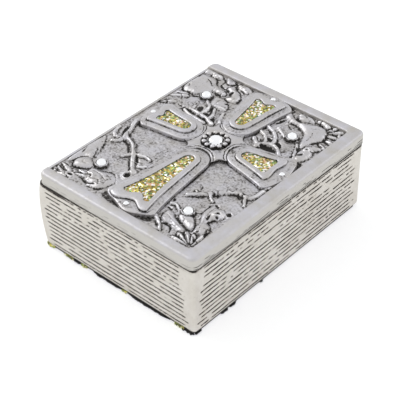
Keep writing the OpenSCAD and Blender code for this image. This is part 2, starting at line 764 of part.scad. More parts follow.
base_body();
cover();
hinge_pin(-1);  // hinge_pin_front
hinge_pin(1);  // hinge_pin_back
magnet(base_top - magnet_pocket_t);  // base_magnet
magnet(cover_bottom + magnet_clearance);  // cover_magnet
base_pad();
floor_lining();
cover_lining();
inlay(ARMS[3]);  // inlay_foot
inlay(ARMS[1]);  // inlay_head
inlay(ARMS[2]);  // inlay_left
inlay(ARMS[0]);  // inlay_right
on_cross() crystal(centre_d, centre_cup_z);  // crystal_centre
corner_crystal(CORNERS[0]);  // crystal_front_left
corner_crystal(CORNERS[1]);  // crystal_front_right
corner_crystal(CORNERS[2]);  // crystal_back_left
corner_crystal(CORNERS[3]);  // crystal_back_right
arm_crystal(ARMS[3]);  // crystal_arm_foot
arm_crystal(ARMS[1]);  // crystal_arm_head
arm_crystal(ARMS[2]);  // crystal_arm_left
arm_crystal(ARMS[0]);  // crystal_arm_right
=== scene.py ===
"""The looks of a rosary box cast as a closed book, built round its CAD frame.

Lengths are millimetres, from the middle of the rest face under the box: +Z is up, +X points to
the page edges, -X to the rounded spine and +Y to the head of the cross.
"""

import json
import logging
import math
from dataclasses import dataclass, field
from enum import Enum, IntEnum
from typing import Any, Callable, Optional, Sequence, Union

import bmesh
import bpy
import numpy as np
from mathutils import Matrix, Vector

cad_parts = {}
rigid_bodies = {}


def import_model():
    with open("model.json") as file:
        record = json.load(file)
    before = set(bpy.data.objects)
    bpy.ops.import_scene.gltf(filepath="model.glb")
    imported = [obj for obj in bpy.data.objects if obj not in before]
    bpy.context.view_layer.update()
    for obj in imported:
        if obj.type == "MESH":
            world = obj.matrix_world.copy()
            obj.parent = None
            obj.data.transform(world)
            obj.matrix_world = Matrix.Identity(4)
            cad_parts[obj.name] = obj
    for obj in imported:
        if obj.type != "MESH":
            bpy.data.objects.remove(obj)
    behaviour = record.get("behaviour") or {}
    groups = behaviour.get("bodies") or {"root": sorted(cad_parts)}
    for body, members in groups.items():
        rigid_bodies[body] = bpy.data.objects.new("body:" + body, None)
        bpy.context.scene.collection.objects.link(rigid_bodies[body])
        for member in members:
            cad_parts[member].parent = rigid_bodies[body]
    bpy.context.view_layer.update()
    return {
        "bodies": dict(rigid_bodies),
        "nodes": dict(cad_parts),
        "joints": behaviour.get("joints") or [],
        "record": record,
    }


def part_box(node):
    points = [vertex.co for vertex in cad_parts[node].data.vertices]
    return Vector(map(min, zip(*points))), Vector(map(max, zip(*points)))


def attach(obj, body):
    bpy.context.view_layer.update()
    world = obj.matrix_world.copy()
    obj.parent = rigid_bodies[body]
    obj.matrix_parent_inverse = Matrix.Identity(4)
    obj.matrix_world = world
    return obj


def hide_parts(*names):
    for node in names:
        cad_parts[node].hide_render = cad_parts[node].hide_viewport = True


LOG = logging.getLogger("rosary_box")

MM = 0.001
PATINA_AND_SHADE = "patina_and_shade"

# How near two places count as the same one, in millimetres
NEAR = 0.01

Point = tuple[float, float]
Path = Sequence[Point]
Shade = tuple[float, float, float, float]
Object = bpy.types.Object
Material = bpy.types.Material
Tree = bpy.types.NodeTree
Socket = bpy.types.NodeSocket


class Body(Enum):
    """The two bodies that the hinge joins."""

    BASE = "base"
    COVER = "cover_body"


class Slot(Enum):
    """The record's material slots."""

    METAL = "cast_metal"
    PIN = "pin_steel"
    MAGNET = "magnet_nickel"
    FELT = "felt"
    VELVET = "velvet"
    GLITTER = "glitter_enamel"
    CRYSTAL = "crystal_glass"


class Seed(IntEnum):
    """Where each kind of unevenness starts its random numbers."""

    PANEL = 3
    PAGE_LINES = 5
    ARMS = 11
    CREVICES = 13
    SHADE = 29
    INLAYS = 47
    CLOTH = 61
    FRINGE = 71
    LEAVES = 83
    LEAF_EDGES = 89
    STEM_EDGES = 97


# Sizes


@dataclass(frozen=True)
class Sizes:
    """The box's own sizes. The outer ones come from the frame, the rest are the solids' own.

    Attributes:
        half_w: half the cover's width.
        half_d: half the cover's depth.
        page_x: where the base's page side lies.
        base_half_d: half the base's depth.
        spine_x: the spine's crown.
        pad_top: height of the felt's upper face.
        cover_bottom: height of the cover's lower edge.
        side, seam: height of the cover's sides and of the gap under them.
        spine_end, spine_crown_z: where the spine's ends lie out of the cover's side, and the
            height of its crown.
        panel_depth, skin: how far the panel lies under the rim, and the metal under it.
        rim_w, page_rim_w: width of the rim at head and foot, and along the page side.
        lip_w, lip_h: width and height of the spine side's lip.
        cover_wall, wall, spine_wall, floor_t: the metal round the cover's recess, and the
            base's sides, spine and floor.
        knuckle_r, base_knuckle, cover_knuckle: a knuckle's radius and the lengths of both kinds.
        hinge_gap, hinge_end: play round a knuckle, and a hinge's distance from the cover's end.
        magnet_r, magnet_t: a magnet pocket's radius and depth.
        boss_r, boss_skin: a magnet boss's radius, and its distance from the page side.
    """

    half_w: float
    half_d: float
    page_x: float
    base_half_d: float
    spine_x: float
    pad_top: float
    cover_bottom: float
    side: float = 5.0
    seam: float = 0.3
    spine_end: float = 1.6
    spine_crown_z: float = 17.0
    panel_depth: float = 1.5
    skin: float = 1.3
    rim_w: float = 4.6
    page_rim_w: float = 5.4
    lip_w: float = 1.0
    lip_h: float = 0.4
    cover_wall: float = 4.6
    wall: float = 2.4
    spine_wall: float = 3.0
    floor_t: float = 2.2
    knuckle_r: float = 1.6
    base_knuckle: float = 5.5
    cover_knuckle: float = 6.4
    hinge_gap: float = 0.3
    hinge_end: float = 22.1
    magnet_r: float = 2.05
    magnet_t: float = 1.45
    boss_r: float = 3.0
    boss_skin: float = 0.6

    @classmethod
    def from_frame(cls) -> "Sizes":
        """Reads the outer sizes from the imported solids.

        Returns:
            The sizes, in millimetres.
        """
        _, cover_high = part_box("cover")
        base_low, base_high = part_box("base_body")
        pad_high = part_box("base_pad")[1]
        magnet_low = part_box("cover_magnet")[0]
        magnet_gap = 0.05
        return cls(half_w=cover_high.x / MM, half_d=cover_high.y / MM, page_x=base_high.x / MM,
            base_half_d=base_high.y / MM, spine_x=base_low.x / MM, pad_top=pad_high.z / MM,
            cover_bottom=magnet_low.z / MM - magnet_gap)

    @property
    def rim_z(self) -> float:
        """Height of the cover's rim."""
        return self.cover_bottom + self.side

    @property
    def panel_z(self) -> float:
        """Height of the panel between the rims."""
        return self.rim_z - self.panel_depth

    @property
    def base_top(self) -> float:
        """Height of the base's upper edge."""
        return self.cover_bottom - self.seam

    @property
    def hinge(self) -> Point:
        """The hinge line's place in X and Z."""
        return (-self.half_w, self.base_top + self.seam / 2)

    @property
    def hinge_middles(self) -> tuple[float, float]:
        """The middles of the two hinges along the spine."""
        offset = self.half_d - self.hinge_end
        return (-offset, offset)

    @property
    def base_knuckle_middles(self) -> list[float]:
        """The middles of the base's knuckles, two at each hinge."""
        offset = (self.cover_knuckle + self.base_knuckle) / 2 + self.hinge_gap
        return [middle + side * offset for middle in self.hinge_middles for side in (-1, 1)]

    @property
    def boss_x(self) -> float:
        """Middle of the magnets' bosses."""
        return self.page_x - self.boss_skin - self.boss_r

    def spine_at(self, z: float) -> float:
        """Gives where the spine's face lies at a height.

        Args:
            z: the height.

        Returns:
            The face's X.
        """
        reach = max(self.spine_crown_z - self.pad_top, self.base_top - self.spine_crown_z)
        t = (z - self.spine_crown_z) / reach
        crown = -self.half_w - self.spine_x - self.spine_end
        return -self.half_w - self.spine_end - crown * (1 - t * t)


# Drawing helpers


def arc(cx: float, cy: float, r: float, start: float, stop: float, steps: int) -> list[Point]:
    """Draws a round stretch.

    Args:
        cx: the centre's first coordinate.
        cy: the centre's second coordinate.
        r: the radius.
        start: the first angle, in degrees.
        stop: the last angle, in degrees.
        steps: the number of straight runs.

    Returns:
        The points along it.
    """
    angles = [math.radians(start + (stop - start) * i / steps) for i in range(steps + 1)]
    return [(cx + r * math.cos(a), cy + r * math.sin(a)) for a in angles]


def round_rect(x0: float, x1: float, half_d: float, r: float, steps: int = 6) -> list[Point]:
    """Draws a rectangle with round corners, anticlockwise from its page side's back corner.

    Args:
        x0: its spine side.
        x1: its page side.
        half_d: half its depth.
        r: the corners' radius.
        steps: straight runs in a corner.

    Returns:
        The closed outline's points.
    """
    corners = ((x1 - r, half_d - r), (x0 + r, half_d - r), (x0 + r, r - half_d),
        (x1 - r, r - half_d))
    points = []
    for i, (cx, cy) in enumerate(corners):
        points += arc(cx, cy, r, 90 * i, 90 * i + 90, steps)
    return points


def smooth_line(points: Path, per_run: int = 5, closed: bool = False) -> np.ndarray:
    """Runs a smooth curve through given points.

    Args:
        points: the points.
        per_run: new points for each run between two of them.
        closed: whether the last run goes back to the first point.

    Returns:
        The curve's points, one row each.
    """
    p = np.array(points, float)
    n = len(p)
    if closed:
        before, here, after, then = np.roll(p, 1, 0), p, np.roll(p, -1, 0), np.roll(p, -2, 0)
    else:
        padded = np.vstack([2 * p[0] - p[1], p, 2 * p[-1] - p[-2]])
        before, here, after, then = (padded[i : i + n - 1] for i in range(4))
    t = (np.arange(per_run) / per_run)[None, :, None]
    b, h, a, c = (v[:, None, :] for v in (before, here, after, then))
    curve = 0.5 * (2 * h + (a - b) * t + (2 * b - 5 * h + 4 * a - c) * t**2
        + (3 * h - b - 3 * a + c) * t**3)
    curve = curve.reshape(-1, p.shape[1])
    return curve if closed else np.vstack([curve, p[-1]])


def smooth_step(x: np.ndarray) -> np.ndarray:
    """Eases a share from 0 to 1, held outside that range."""
    t = np.clip(x, 0, 1)
    return t * t * (3 - 2 * t)


class Grain:
    """Smooth random values over a plane, the same on every run."""

    def __init__(self, seed: int, cells: int = 256) -> None:
        """Draws the lattice.

        Args:
            seed: where the random numbers start.
            cells: the lattice's side, after which it repeats.
        """
        self.cells = cells
        self.lattice = np.random.default_rng(seed).uniform(-1, 1, (cells, cells))

    def at(self, x: np.ndarray, y: np.ndarray, size: float) -> np.ndarray:
        """Reads the values.

        Args:
            x: first coordinates.
            y: second coordinates, of the same shape.
            size: the distance between two lattice points.

        Returns:
            Values from -1 to 1.
        """
        u, v = np.broadcast_arrays(np.asarray(x, float) / size, np.asarray(y, float) / size)
        i, j = np.floor(u).astype(int), np.floor(v).astype(int)
        s, t = smooth_step(u - i), smooth_step(v - j)
        i0, j0, i1, j1 = (k % self.cells for k in (i, j, i + 1, j + 1))
        low = self.lattice[i0, j0] * (1 - s) + self.lattice[i1, j0] * s
        high = self.lattice[i0, j1] * (1 - s) + self.lattice[i1, j1] * s
        return low * (1 - t) + high * t

    def layered(self, x: np.ndarray, y: np.ndarray, size: float, layers: int = 3) -> np.ndarray:
        """Adds finer and finer values.

        Args:
            x: first coordinates.
            y: second coordinates.
            size: the coarsest layer's distance between lattice points.
            layers: how many layers, each half as coarse.

        Returns:
            Values from about -1 to 1.
        """
        total = sum(self.at(x + 17 * k, y - 11 * k, size / 2**k) / 2**k for k in range(layers))
        return total / (2 - 2 ** (1 - layers))


# Mesh helpers


def deselect() -> None:
    """Leaves nothing selected and nothing active."""
    bpy.ops.object.select_all(action="DESELECT")
    bpy.context.view_layer.objects.active = None


def activate(ob: Object) -> None:
    """Selects one object alone and makes it active."""
    deselect()
    ob.select_set(True)
    bpy.context.view_layer.objects.active = ob


def finish_mesh(ob: Object, angle: float = 35.0) -> Object:
    """Turns the faces outwards, smooths what is smooth and leaves the object at the origin.

    Args:
        ob: the object.
        angle: the sharpest edge that is still smooth, in degrees.

    Returns:
        The same object.
    """
    activate(ob)
    bpy.ops.object.transform_apply(location=True, rotation=True, scale=True)
    mesh = bmesh.new()
    mesh.from_mesh(ob.data)
    bmesh.ops.recalc_face_normals(mesh, faces=mesh.faces)
    mesh.to_mesh(ob.data)
    mesh.free()
    if angle > 0:
        bpy.ops.object.shade_smooth_by_angle(angle=math.radians(angle))
    return ob


def new_piece(name: str, points: np.ndarray, faces: Sequence[Sequence[int]]) -> Object:
    """Makes an object from points and faces.

    Args:
        name: the piece's name.
        points: one row of X, Y and Z for each point, in millimetres.
        faces: each face's points.

    Returns:
        The object.
    """
    mesh = bpy.data.meshes.new(name)
    mesh.from_pydata((np.asarray(points, float) * MM).tolist(), [], [list(f) for f in faces])
    mesh.validate()
    ob = bpy.data.objects.new(name, mesh)
    bpy.context.scene.collection.objects.link(ob)
    return ob


def paint(ob: Object, values: np.ndarray) -> Object:
    """Writes how dark the patina and the painted shade lie at each point.

    Args:
        ob: the piece.
        values: one share for each point: 0 is clean, 1 is black with patina and painted shade, and
            -1 is bright with wear and painted highlights.

    Returns:
        The same piece.
    """
    attribute = ob.data.attributes.new(PATINA_AND_SHADE, "FLOAT", "POINT")
    attribute.data.foreach_set("value", np.clip(values, -1, 1.2).astype(np.float32))
    return ob


@dataclass
class Ring:
    """One closed line of points round a piece, with its patina and painted shade.

    Attributes:
        points: one row for each point.
        patina_and_shade: how dark the metal is along it.
    """

    points: np.ndarray
    patina_and_shade: Union[float, np.ndarray] = 0.0


def ring(outline: Union[Path, np.ndarray], z: Union[float, np.ndarray],
        patina_and_shade: float = 0.0) -> Ring:
    """Lifts an outline to a height.

    Args:
        outline: the points seen from above.
        z: one height for all, or one for each.
        patina_and_shade: how dark the metal is along it.

    Returns:
        The ring.
    """
    flat = np.array(outline, float)
    return Ring(np.column_stack([flat, np.broadcast_to(z, len(flat))]), patina_and_shade)


def loft(name: str, rings: Sequence[Ring], angle: float = 35.0) -> Object:
    """Skins rings of equal length and closes both ends.

    Args:
        name: the piece's name.
        rings: the rings, from one end to the other.
        angle: the sharpest edge that is still smooth, in degrees.

    Returns:
        The piece, with its patina and painted shade.
    """
    n, rows = len(rings[0].points), len(rings)
    index = np.arange(n * rows).reshape(rows, n)
    low, high = index[:-1], index[1:]
    quads = np.stack([low, np.roll(low, -1, 1), np.roll(high, -1, 1), high], -1).reshape(-1, 4)
    faces = quads.tolist() + [index[0][::-1].tolist(), index[-1].tolist()]
    points = np.vstack([r.points for r in rings])
    values = np.concatenate([np.broadcast_to(r.patina_and_shade, n) for r in rings])
    ob = new_piece(name, points, faces)
    paint(ob, values)
    return finish_mesh(ob, angle)


def join(name: str, parts: Sequence[Object]) -> Object:
    """Joins parts that are one piece of metal.

    Args:
        name: the piece's name.
        parts: the parts, of which the first one's settings stay.

    Returns:
        The joined piece.
    """
    deselect()
    for part in parts:
        part.select_set(True)
    bpy.context.view_layer.objects.active = parts[0]
    bpy.ops.object.join()
    parts[0].name = parts[0].data.name = name
    return parts[0]


def modify(ob: Object, kind: str, **settings: Any) -> Object:
    """Adds a modifier and applies it.

    Args:
        ob: the piece.
        kind: the modifier's type.
        **settings: its settings.

    Returns:
        The same piece.
    """
    activate(ob)
    modifier = ob.modifiers.new(kind.lower(), kind)
    for key, value in settings.items():
        setattr(modifier, key, value)
    bpy.ops.object.modifier_apply(modifier=modifier.name)
    return ob


def cut(ob: Object, cutters: Sequence[Object]) -> Object:
    """Takes shapes out of a piece, and removes the shapes.

    Args:
        ob: the piece.
        cutters: the shapes.

    Returns:
        The same piece.
    """
    for cutter in cutters:
        modify(ob, "BOOLEAN", operation="DIFFERENCE", solver="EXACT", object=cutter)
        bpy.data.objects.remove(cutter)
    return ob


def bar(name: str, r: float, start: Sequence[float], stop: Sequence[float], soft: float) -> Object:
    """Adds a round bar with softened ends.

    Args:
        name: the bar's name.
        r: its radius.
        start: one end.
        stop: the other end.
        soft: the width of the rounding at its ends.

    Returns:
        The bar.
    """
    a, b = Vector(start) * MM, Vector(stop) * MM
    turn = (b - a).to_track_quat("Z", "Y").to_euler()
    deselect()
    bpy.ops.mesh.primitive_cylinder_add(vertices=40, radius=r * MM, depth=(b - a).length,
        location=(a + b) / 2, rotation=turn)
    ob = bpy.context.object
    ob.name = name
    bpy.ops.object.transform_apply(location=True, rotation=True, scale=True)
    if soft > 0:
        modify(ob, "BEVEL", width=soft * MM, segments=3, limit_method="ANGLE")
    return ob


def select_edges(ob: Object, wanted: Callable[[Vector, Vector], bool]) -> None:
    """Goes into edit mode with some edges selected.

    Args:
        ob: the piece.
        wanted: says from an edge's two ends, in millimetres, whether it is selected.
    """
    activate(ob)
    bpy.ops.object.mode_set(mode="EDIT")
    bpy.ops.mesh.select_mode(type="EDGE")
    bpy.ops.mesh.select_all(action="DESELECT")
    mesh = bmesh.from_edit_mesh(ob.data)
    for edge in mesh.edges:
        a, b = (v.co / MM for v in edge.verts)
        edge.select_set(wanted(a, b))
    bmesh.update_edit_mesh(ob.data)


def select_faces(ob: Object, wanted: Callable[[Vector, Vector], bool]) -> None:
    """Goes into edit mode with some faces selected.

    Args:
        ob: the piece.
        wanted: says from a face's middle, in millimetres, and its normal, whether it is selected.
    """
    activate(ob)
    bpy.ops.object.mode_set(mode="EDIT")
    bpy.ops.mesh.select_mode(type="FACE")
    bpy.ops.mesh.select_all(action="DESELECT")
    mesh = bmesh.from_edit_mesh(ob.data)
    for face in mesh.faces:
        face.select_set(wanted(face.calc_center_median() / MM, face.normal))
    bmesh.update_edit_mesh(ob.data)


def leave_edit() -> None:
    """Goes back to object mode."""
    bpy.ops.object.mode_set(mode="OBJECT")


# Finishes


def colour(code: str) -> Shade:
    """Turns an sRGB hex colour into a linear one.

    Args:
        code: six hex digits.

    Returns:
        Red, green, blue and 1.
    """
    shares = [int(code[i : i + 2], 16) / 255 for i in (0, 2, 4)]
    linear = [c / 12.92 if c <= 0.04045 else ((c + 0.055) / 1.055) ** 2.4 for c in shares]
    return (*linear, 1.0)


def per_mm(size: float) -> float:
    """Gives a texture's scale for features of a size in millimetres."""
    return 1 / (size * MM)


def node(tree: Tree, kind: str, settings: Optional[dict[str, Any]] = None,
        inputs: Optional[dict[Union[str, int], Any]] = None) -> bpy.types.Node:
    """Adds a node with its settings and links.

    Args:
        tree: the material's or the world's nodes.
        kind: the node's type, after "ShaderNode".
        settings: the node's own settings.
        inputs: for each input a constant, or the output that feeds it.

    Returns:
        The node.
    """
    made = tree.nodes.new("ShaderNode" + kind)
    for key, value in (settings or {}).items():
        setattr(made, key, value)
    for key, value in (inputs or {}).items():
        if isinstance(value, Socket):
            tree.links.new(value, made.inputs[key])
        else:
            made.inputs[key].default_value = value
    return made


def grey(level: float) -> Shade:
    """Gives a linear grey."""
    return (level, level, level, 1.0)


def ramp(tree: Tree, share: Socket, stops: Sequence[tuple[float, Shade]],
        kind: str = "LINEAR") -> Socket:
    """Turns a share into a colour along stops.

    Args:
        tree: the material's nodes.
        share: the share.
        stops: each stop's place and colour.
        kind: how the colours run into each other.

    Returns:
        The colour.
    """
    made = node(tree, "ValToRGB", inputs={"Fac": share})
    made.color_ramp.interpolation = kind
    stretch = made.color_ramp.elements
    while len(stretch) < len(stops):
        stretch.new(0.5)
    for element, (place, shade) in zip(stretch, stops):
        element.position, element.color = place, shade
    return made.outputs["Color"]


def fade(tree: Tree, share: Socket, start: float, stop: float, low: float = 0.0,
        high: float = 1.0) -> Socket:
    """Stretches a part of a share, and holds it outside that part.

    Args:
        tree: the material's nodes.
        share: the share.
        start: where the part begins.
        stop: where it ends.
        low: the value up to its beginning.
        high: the value from its end on.

    Returns:
        The stretched share.
    """
    return ramp(tree, share, [(start, grey(low)), (stop, grey(high))])


def blank_material(name: str) -> tuple[Material, Tree, Any]:
    """Makes a material with an output alone.

    Args:
        name: the material's name.

    Returns:
        The material, its nodes and the output's surface input.
    """
    material = bpy.data.materials.new(name)
    material.use_nodes = True
    tree = material.node_tree
    tree.nodes.clear()
    output = node(tree, "OutputMaterial")
    return material, tree, output.inputs["Surface"]


def maths(tree: Tree, operation: str, *values: Any) -> Socket:
    """Adds a sum.

    Args:
        tree: the material's nodes.
        operation: the kind of sum.
        *values: its inputs, each a constant or an output.

    Returns:
        Its result.
    """
    made = node(tree, "Math", {"operation": operation}, dict(enumerate(values)))
    return made.outputs["Value"]


def blend(tree: Tree, share: Socket, low: Any, high: Any) -> Socket:
    """Mixes two colours.

    Args:
        tree: the material's nodes.
        share: how much of the second one there is.
        low: the first colour.
        high: the second colour.

    Returns:
        The mixed colour.
    """
    inputs = {"Factor": share, "A": low, "B": high}
    return node(tree, "Mix", {"data_type": "RGBA"}, inputs).outputs["Result"]


def noise(tree: Tree, place: Socket, size: float, detail: float, rough: float = 0.5) -> Socket:
    """Adds cloudy random values.

    Args:
        tree: the material's nodes.
        place: where the point lies.
        size: the clouds' size in millimetres.
        detail: how many finer layers there are.
        rough: how strong those are.

    Returns:
        Values from 0 to 1.
    """
    inputs = {"Vector": place, "Scale": per_mm(size), "Detail": detail, "Roughness": rough}
    return node(tree, "TexNoise", inputs=inputs).outputs["Fac"]


def emboss(tree: Tree, height: Socket, strength: float, depth: float, **under: Socket) -> Socket:
    """Raises the surface by a height.

    Args:
        tree: the material's nodes.
        height: the height, from 0 to 1.
        strength: how much of it shows.
        depth: its full depth in millimetres.
        **under: Normal, for another relief that lies under this one.

    Returns:
        The normal.
    """
    inputs = {"Strength": strength, "Distance": depth * MM, "Height": height, **under}
    return node(tree, "Bump", inputs=inputs).outputs["Normal"]


def remap(tree: Tree, value: Socket, low: float, high: float, start: float = 0.0,
        stop: float = 1.0) -> Socket:
    """Takes a value from one range to another, held at both ends.

    Args:
        tree: the material's nodes.
        value: the value.
        low: what it becomes at the start.
        high: what it becomes at the stop.
        start: where its own range starts.
        stop: where that range stops.

    Returns:
        The new value.
    """
    ends = {"From Min": start, "From Max": stop, "To Min": low, "To Max": high}
    return node(tree, "MapRange", inputs={"Value": value, **ends}).outputs["Result"]


class Finish:
    """What the finishes share: one principled shader that their own nodes feed.

    Attributes:
        name: the material's name.
    """

    name: str

    def build(self) -> Material:
        """Makes the material.

        Returns:
            The material.
        """
        material, tree, surface = blank_material(self.name)
        place = node(tree, "TexCoord").outputs["Object"]
        shader = node(tree, "BsdfPrincipled", inputs=self.feed(tree, place))
        tree.links.new(shader.outputs["BSDF"], surface)
        return material

    def feed(self, tree: Tree, place: Socket) -> dict[str, Any]:
        """Makes the nodes that feed the shader.

        Args:
            tree: the material's nodes.
            place: where the point lies.

        Returns:
            A constant or an output for each of the shader's inputs.
        """
        raise NotImplementedError


@dataclass(frozen=True)
class CastSilver(Finish):
    """Zinc alloy cast in a mould, silver plated and antiqued.

    To the eye: a soft, pale grey metal with a sandy grain, rubbed bright where it stands
    proud, and brown-black where the patina was left in its hollows. The darkness each piece
    carries also holds painted shade, and painted highlights on raised crests.

    Attributes:
        name: the material's name.
        silver, warm: the clean metal's two tones, which drift into each other.
        grime, patina: the film at a hollow's edge and the black in its depth, also of painted
            shade.
        bright: the metal where it is rubbed, also used as a painted highlight on raised crests.
        roughness, film_roughness: how blurred the clean metal and the film reflect.
        grain, grain_depth, lump, lump_depth: size and height of the sand's marks and of the
            casting's unevenness.
        pitting, speckle: how much the patina's edge and the clean metal break up.
        upright: the tone painted on steep faces by which way they face, as painted light.
        lines, line_w: heights and width of lines scratched along the sides.
    """

    name: str = "cast_silver_plate"
    silver: str = "C3C2C7"
    warm: str = "B8B5B2"
    grime_and_shade: str = "625D58"
    patina_and_shade: str = "14100D"
    roughness: float = 0.42
    film_roughness: float = 0.72
    pitting: float = 7.0
    bright: str = "F6F6F8"
    grain: float = 0.45
    grain_depth: float = 0.06
    lump: float = 2.4
    lump_depth: float = 0.3
    speckle: float = 0.4
    upright: str = ""
    lines: Sequence[float] = ()
    line_w: float = 0.15

    def feed(self, tree: Tree, place: Socket) -> dict[str, Any]:
        """Makes the nodes that feed the shader.

        Args:
            tree: the material's nodes.
            place: where the point lies.

        Returns:
            A constant or an output for each of the shader's inputs.
        """
        painted = node(tree, "Attribute", {"attribute_name": PATINA_AND_SHADE}).outputs["Fac"]
        warmth = fade(tree, noise(tree, place, 7, 4.0, 0.6), 0.35, 0.72)
        clean = blend(tree, warmth, colour(self.silver), colour(self.warm))
        # The bright metal comes in where a piece is painted below zero: wear and a painted
        # highlight together
        wear_and_highlight = fade(tree, maths(tree, "MULTIPLY", painted, -1.0), 0.15, 0.7)
        clean = blend(tree, wear_and_highlight, clean, colour(self.bright))
        if self.upright:
            # Painted light: the upright faces take a warmer, yellowish colour by which way they
            # face
            normal = node(tree, "NewGeometry").outputs["Normal"]
            rise = node(tree, "SeparateXYZ", inputs={"Vector": normal}).outputs["Z"]
            clean = blend(tree, fade(tree, rise, 0.2, 0.75, 1.0, 0.0), clean, colour(self.upright))
        # The patina breaks up along its edge, where the rubbing cloth missed it
        reach = maths(tree, "MULTIPLY_ADD", painted, self.pitting, self.speckle)
        reach = maths(tree, "MINIMUM", reach, 2.4)
        spread = maths(tree, "SUBTRACT", noise(tree, place, 0.8, 2.0, 0.6), 0.5)
        dark = maths(tree, "MULTIPLY_ADD", spread, reach, painted)
        if self.lines:
            dark = maths(tree, "MAXIMUM", dark, self.engraving(tree, place))
        film = ramp(tree, dark, [(0.12, grey(0.0)), (0.5, grey(0.5)), (0.8, grey(1.0))])
        brown = blend(tree, film, clean, colour(self.grime_and_shade))
        cast = emboss(tree, noise(tree, place, self.lump, 2.0), 0.6, self.lump_depth)
        sand = noise(tree, place, self.grain, 3.0, 0.7)
        return {
            "Base Color": blend(tree, fade(tree, dark, 0.55, 1.0), brown, colour(self.patina_and_shade)),
            "Metallic": fade(tree, dark, 0.3, 0.9, 1.0, 0.15),
            "Roughness": remap(tree, film, self.roughness, self.film_roughness),
            "Normal": emboss(tree, sand, 0.6, self.grain_depth, Normal=cast),
        }

    def engraving(self, tree: Tree, place: Socket) -> Socket:
        """Scratches broken lines along the upright sides.

        Args:
            tree: the material's nodes.
            place: where the point lies.

        Returns:
            How dark the lines are.
        """
        height = node(tree, "SeparateXYZ", inputs={"Vector": place}).outputs["Z"]
        normal = node(tree, "NewGeometry").outputs["Normal"]
        facing = node(tree, "SeparateXYZ", inputs={"Vector": normal}).outputs
        page = fade(tree, facing["X"], 0.6, 0.95, 0.0, 1.05)
        front = fade(tree, maths(tree, "ABSOLUTE", facing["Y"]), 0.6, 0.95, 0.0, 0.5)
        flat = node(tree, "Mapping", inputs={"Vector": place, "Scale": (1.0, 1.0, 0.0)})
        total: Union[float, Socket] = 0.0
        for i, line_z in enumerate(self.lines):
            # Each line breaks and wanders by its own part of the clouds
            shift = {"Vector": flat.outputs["Vector"], "Location": (0.05 * i, 0.03 * i, 0.0)}
            moved = node(tree, "Mapping", inputs=shift).outputs["Vector"]
            broken = noise(tree, moved, 7 - i, 1.5, 0.6)
            kept = fade(tree, broken, 0.42 + 0.05 * i, 0.5 + 0.05 * i)
            slow = noise(tree, moved, 9, 0.0)
            wander = maths(tree, "MULTIPLY_ADD", slow, 0.8 * MM, -0.4 * MM)
            off = maths(tree, "SUBTRACT", maths(tree, "ADD", height, wander), line_z * MM)
            inner, outer = 0.5 * self.line_w * MM, 1.6 * self.line_w * MM
            core = remap(tree, maths(tree, "ABSOLUTE", off), 1.0, 0.0, inner, outer)
            total = maths(tree, "MAXIMUM", total, maths(tree, "MULTIPLY", core, kept))
        return maths(tree, "MULTIPLY", total, maths(tree, "MAXIMUM", page, front))


@dataclass(frozen=True)
class GlitterEnamel(Finish):
    """Polyester glitter sunk in clear resin, poured into the cross.

    To the eye: a crowd of tiny flakes in gold, green, white, orange and pink, each at its own
    tilt, under a wet gloss. The real flakes are about 0.4 mm wide and are drawn coarser here,
    so that each still shows.

    Attributes:
        name: the material's name.
        flake: a flake's width.
        tilt: how far the flakes lean.
        shades: the flakes' colours, which are equally common.
    """

    name: str = "glitter_in_resin"
    flake: float = 0.68
    tilt: float = 0.5
    # The near-white flakes are partly painted sparkle, for flakes that catch the light
    shades: str = (
        "4F4718 9A8A2A C8B848 E9E3AE 93B268 FFFFFA B08C3C D8CA5C 5E8A52 E4B696 FFFFFF 87792A "
        "B6A43E 686022"
    )

    def feed(self, tree: Tree, place: Socket) -> dict[str, Any]:
        """Makes the nodes that feed the shader.

        Args:
            tree: the material's nodes.
            place: where the point lies.

        Returns:
            A constant or an output for each of the shader's inputs.
        """
        flakes = node(tree, "TexVoronoi", inputs={"Vector": place, "Scale": per_mm(self.flake)})
        chance = flakes.outputs["Color"]
        red = node(tree, "SeparateColor", inputs={"Color": chance}).outputs["Red"]
        codes = self.shades.split()
        stops = [(i / len(codes), colour(code)) for i, code in enumerate(codes)]
        # Each flake's own tilt: its random colour pushes the normal off
        tilted = node(tree, "NewGeometry").outputs["Normal"]
        half = (0.5, 0.5, 0.5)
        lean = node(tree, "VectorMath", {"operation": "SUBTRACT"}, {0: chance, 1: half})
        scaled = {0: lean.outputs["Vector"], "Scale": 2 * self.tilt}
        lean = node(tree, "VectorMath", {"operation": "SCALE"}, scaled)
        pushed = {0: tilted, 1: lean.outputs["Vector"]}
        tilted = node(tree, "VectorMath", {"operation": "ADD"}, pushed).outputs["Vector"]
        tilted = node(tree, "VectorMath", {"operation": "NORMALIZE"}, {0: tilted})
        return {
            "Base Color": ramp(tree, red, stops, "CONSTANT"),
            "Metallic": 0.65,
            "Roughness": 0.3,
            "Normal": tilted.outputs["Vector"],
            "Coat Weight": 0.6,
            "Coat Roughness": 0.08,
        }


@dataclass(frozen=True)
class FoiledCrystal(Finish):
    """Cut lead glass with a silver foil behind it.

    To the eye: white flashes and dark facets side by side.

    Attributes:
        name: the material's name.
        tint: the foil's colour.
        ior: how much the glass bends light.
    """

    name: str = "foiled_crystal"
    tint: str = "F7F9FC"
    ior: float = 1.56

    def feed(self, tree: Tree, place: Socket) -> dict[str, Any]:
        """Gives the shader's constants.

        Args:
            tree: the material's nodes, which get none of its own.
            place: where the point lies, which makes no difference to it.

        Returns:
            The constants.
        """
        foil = {"Base Color": colour(self.tint), "Metallic": 0.9, "Roughness": 0.06}
        return {**foil, "IOR": self.ior, "Coat Weight": 1.0, "Coat Roughness": 0.02}


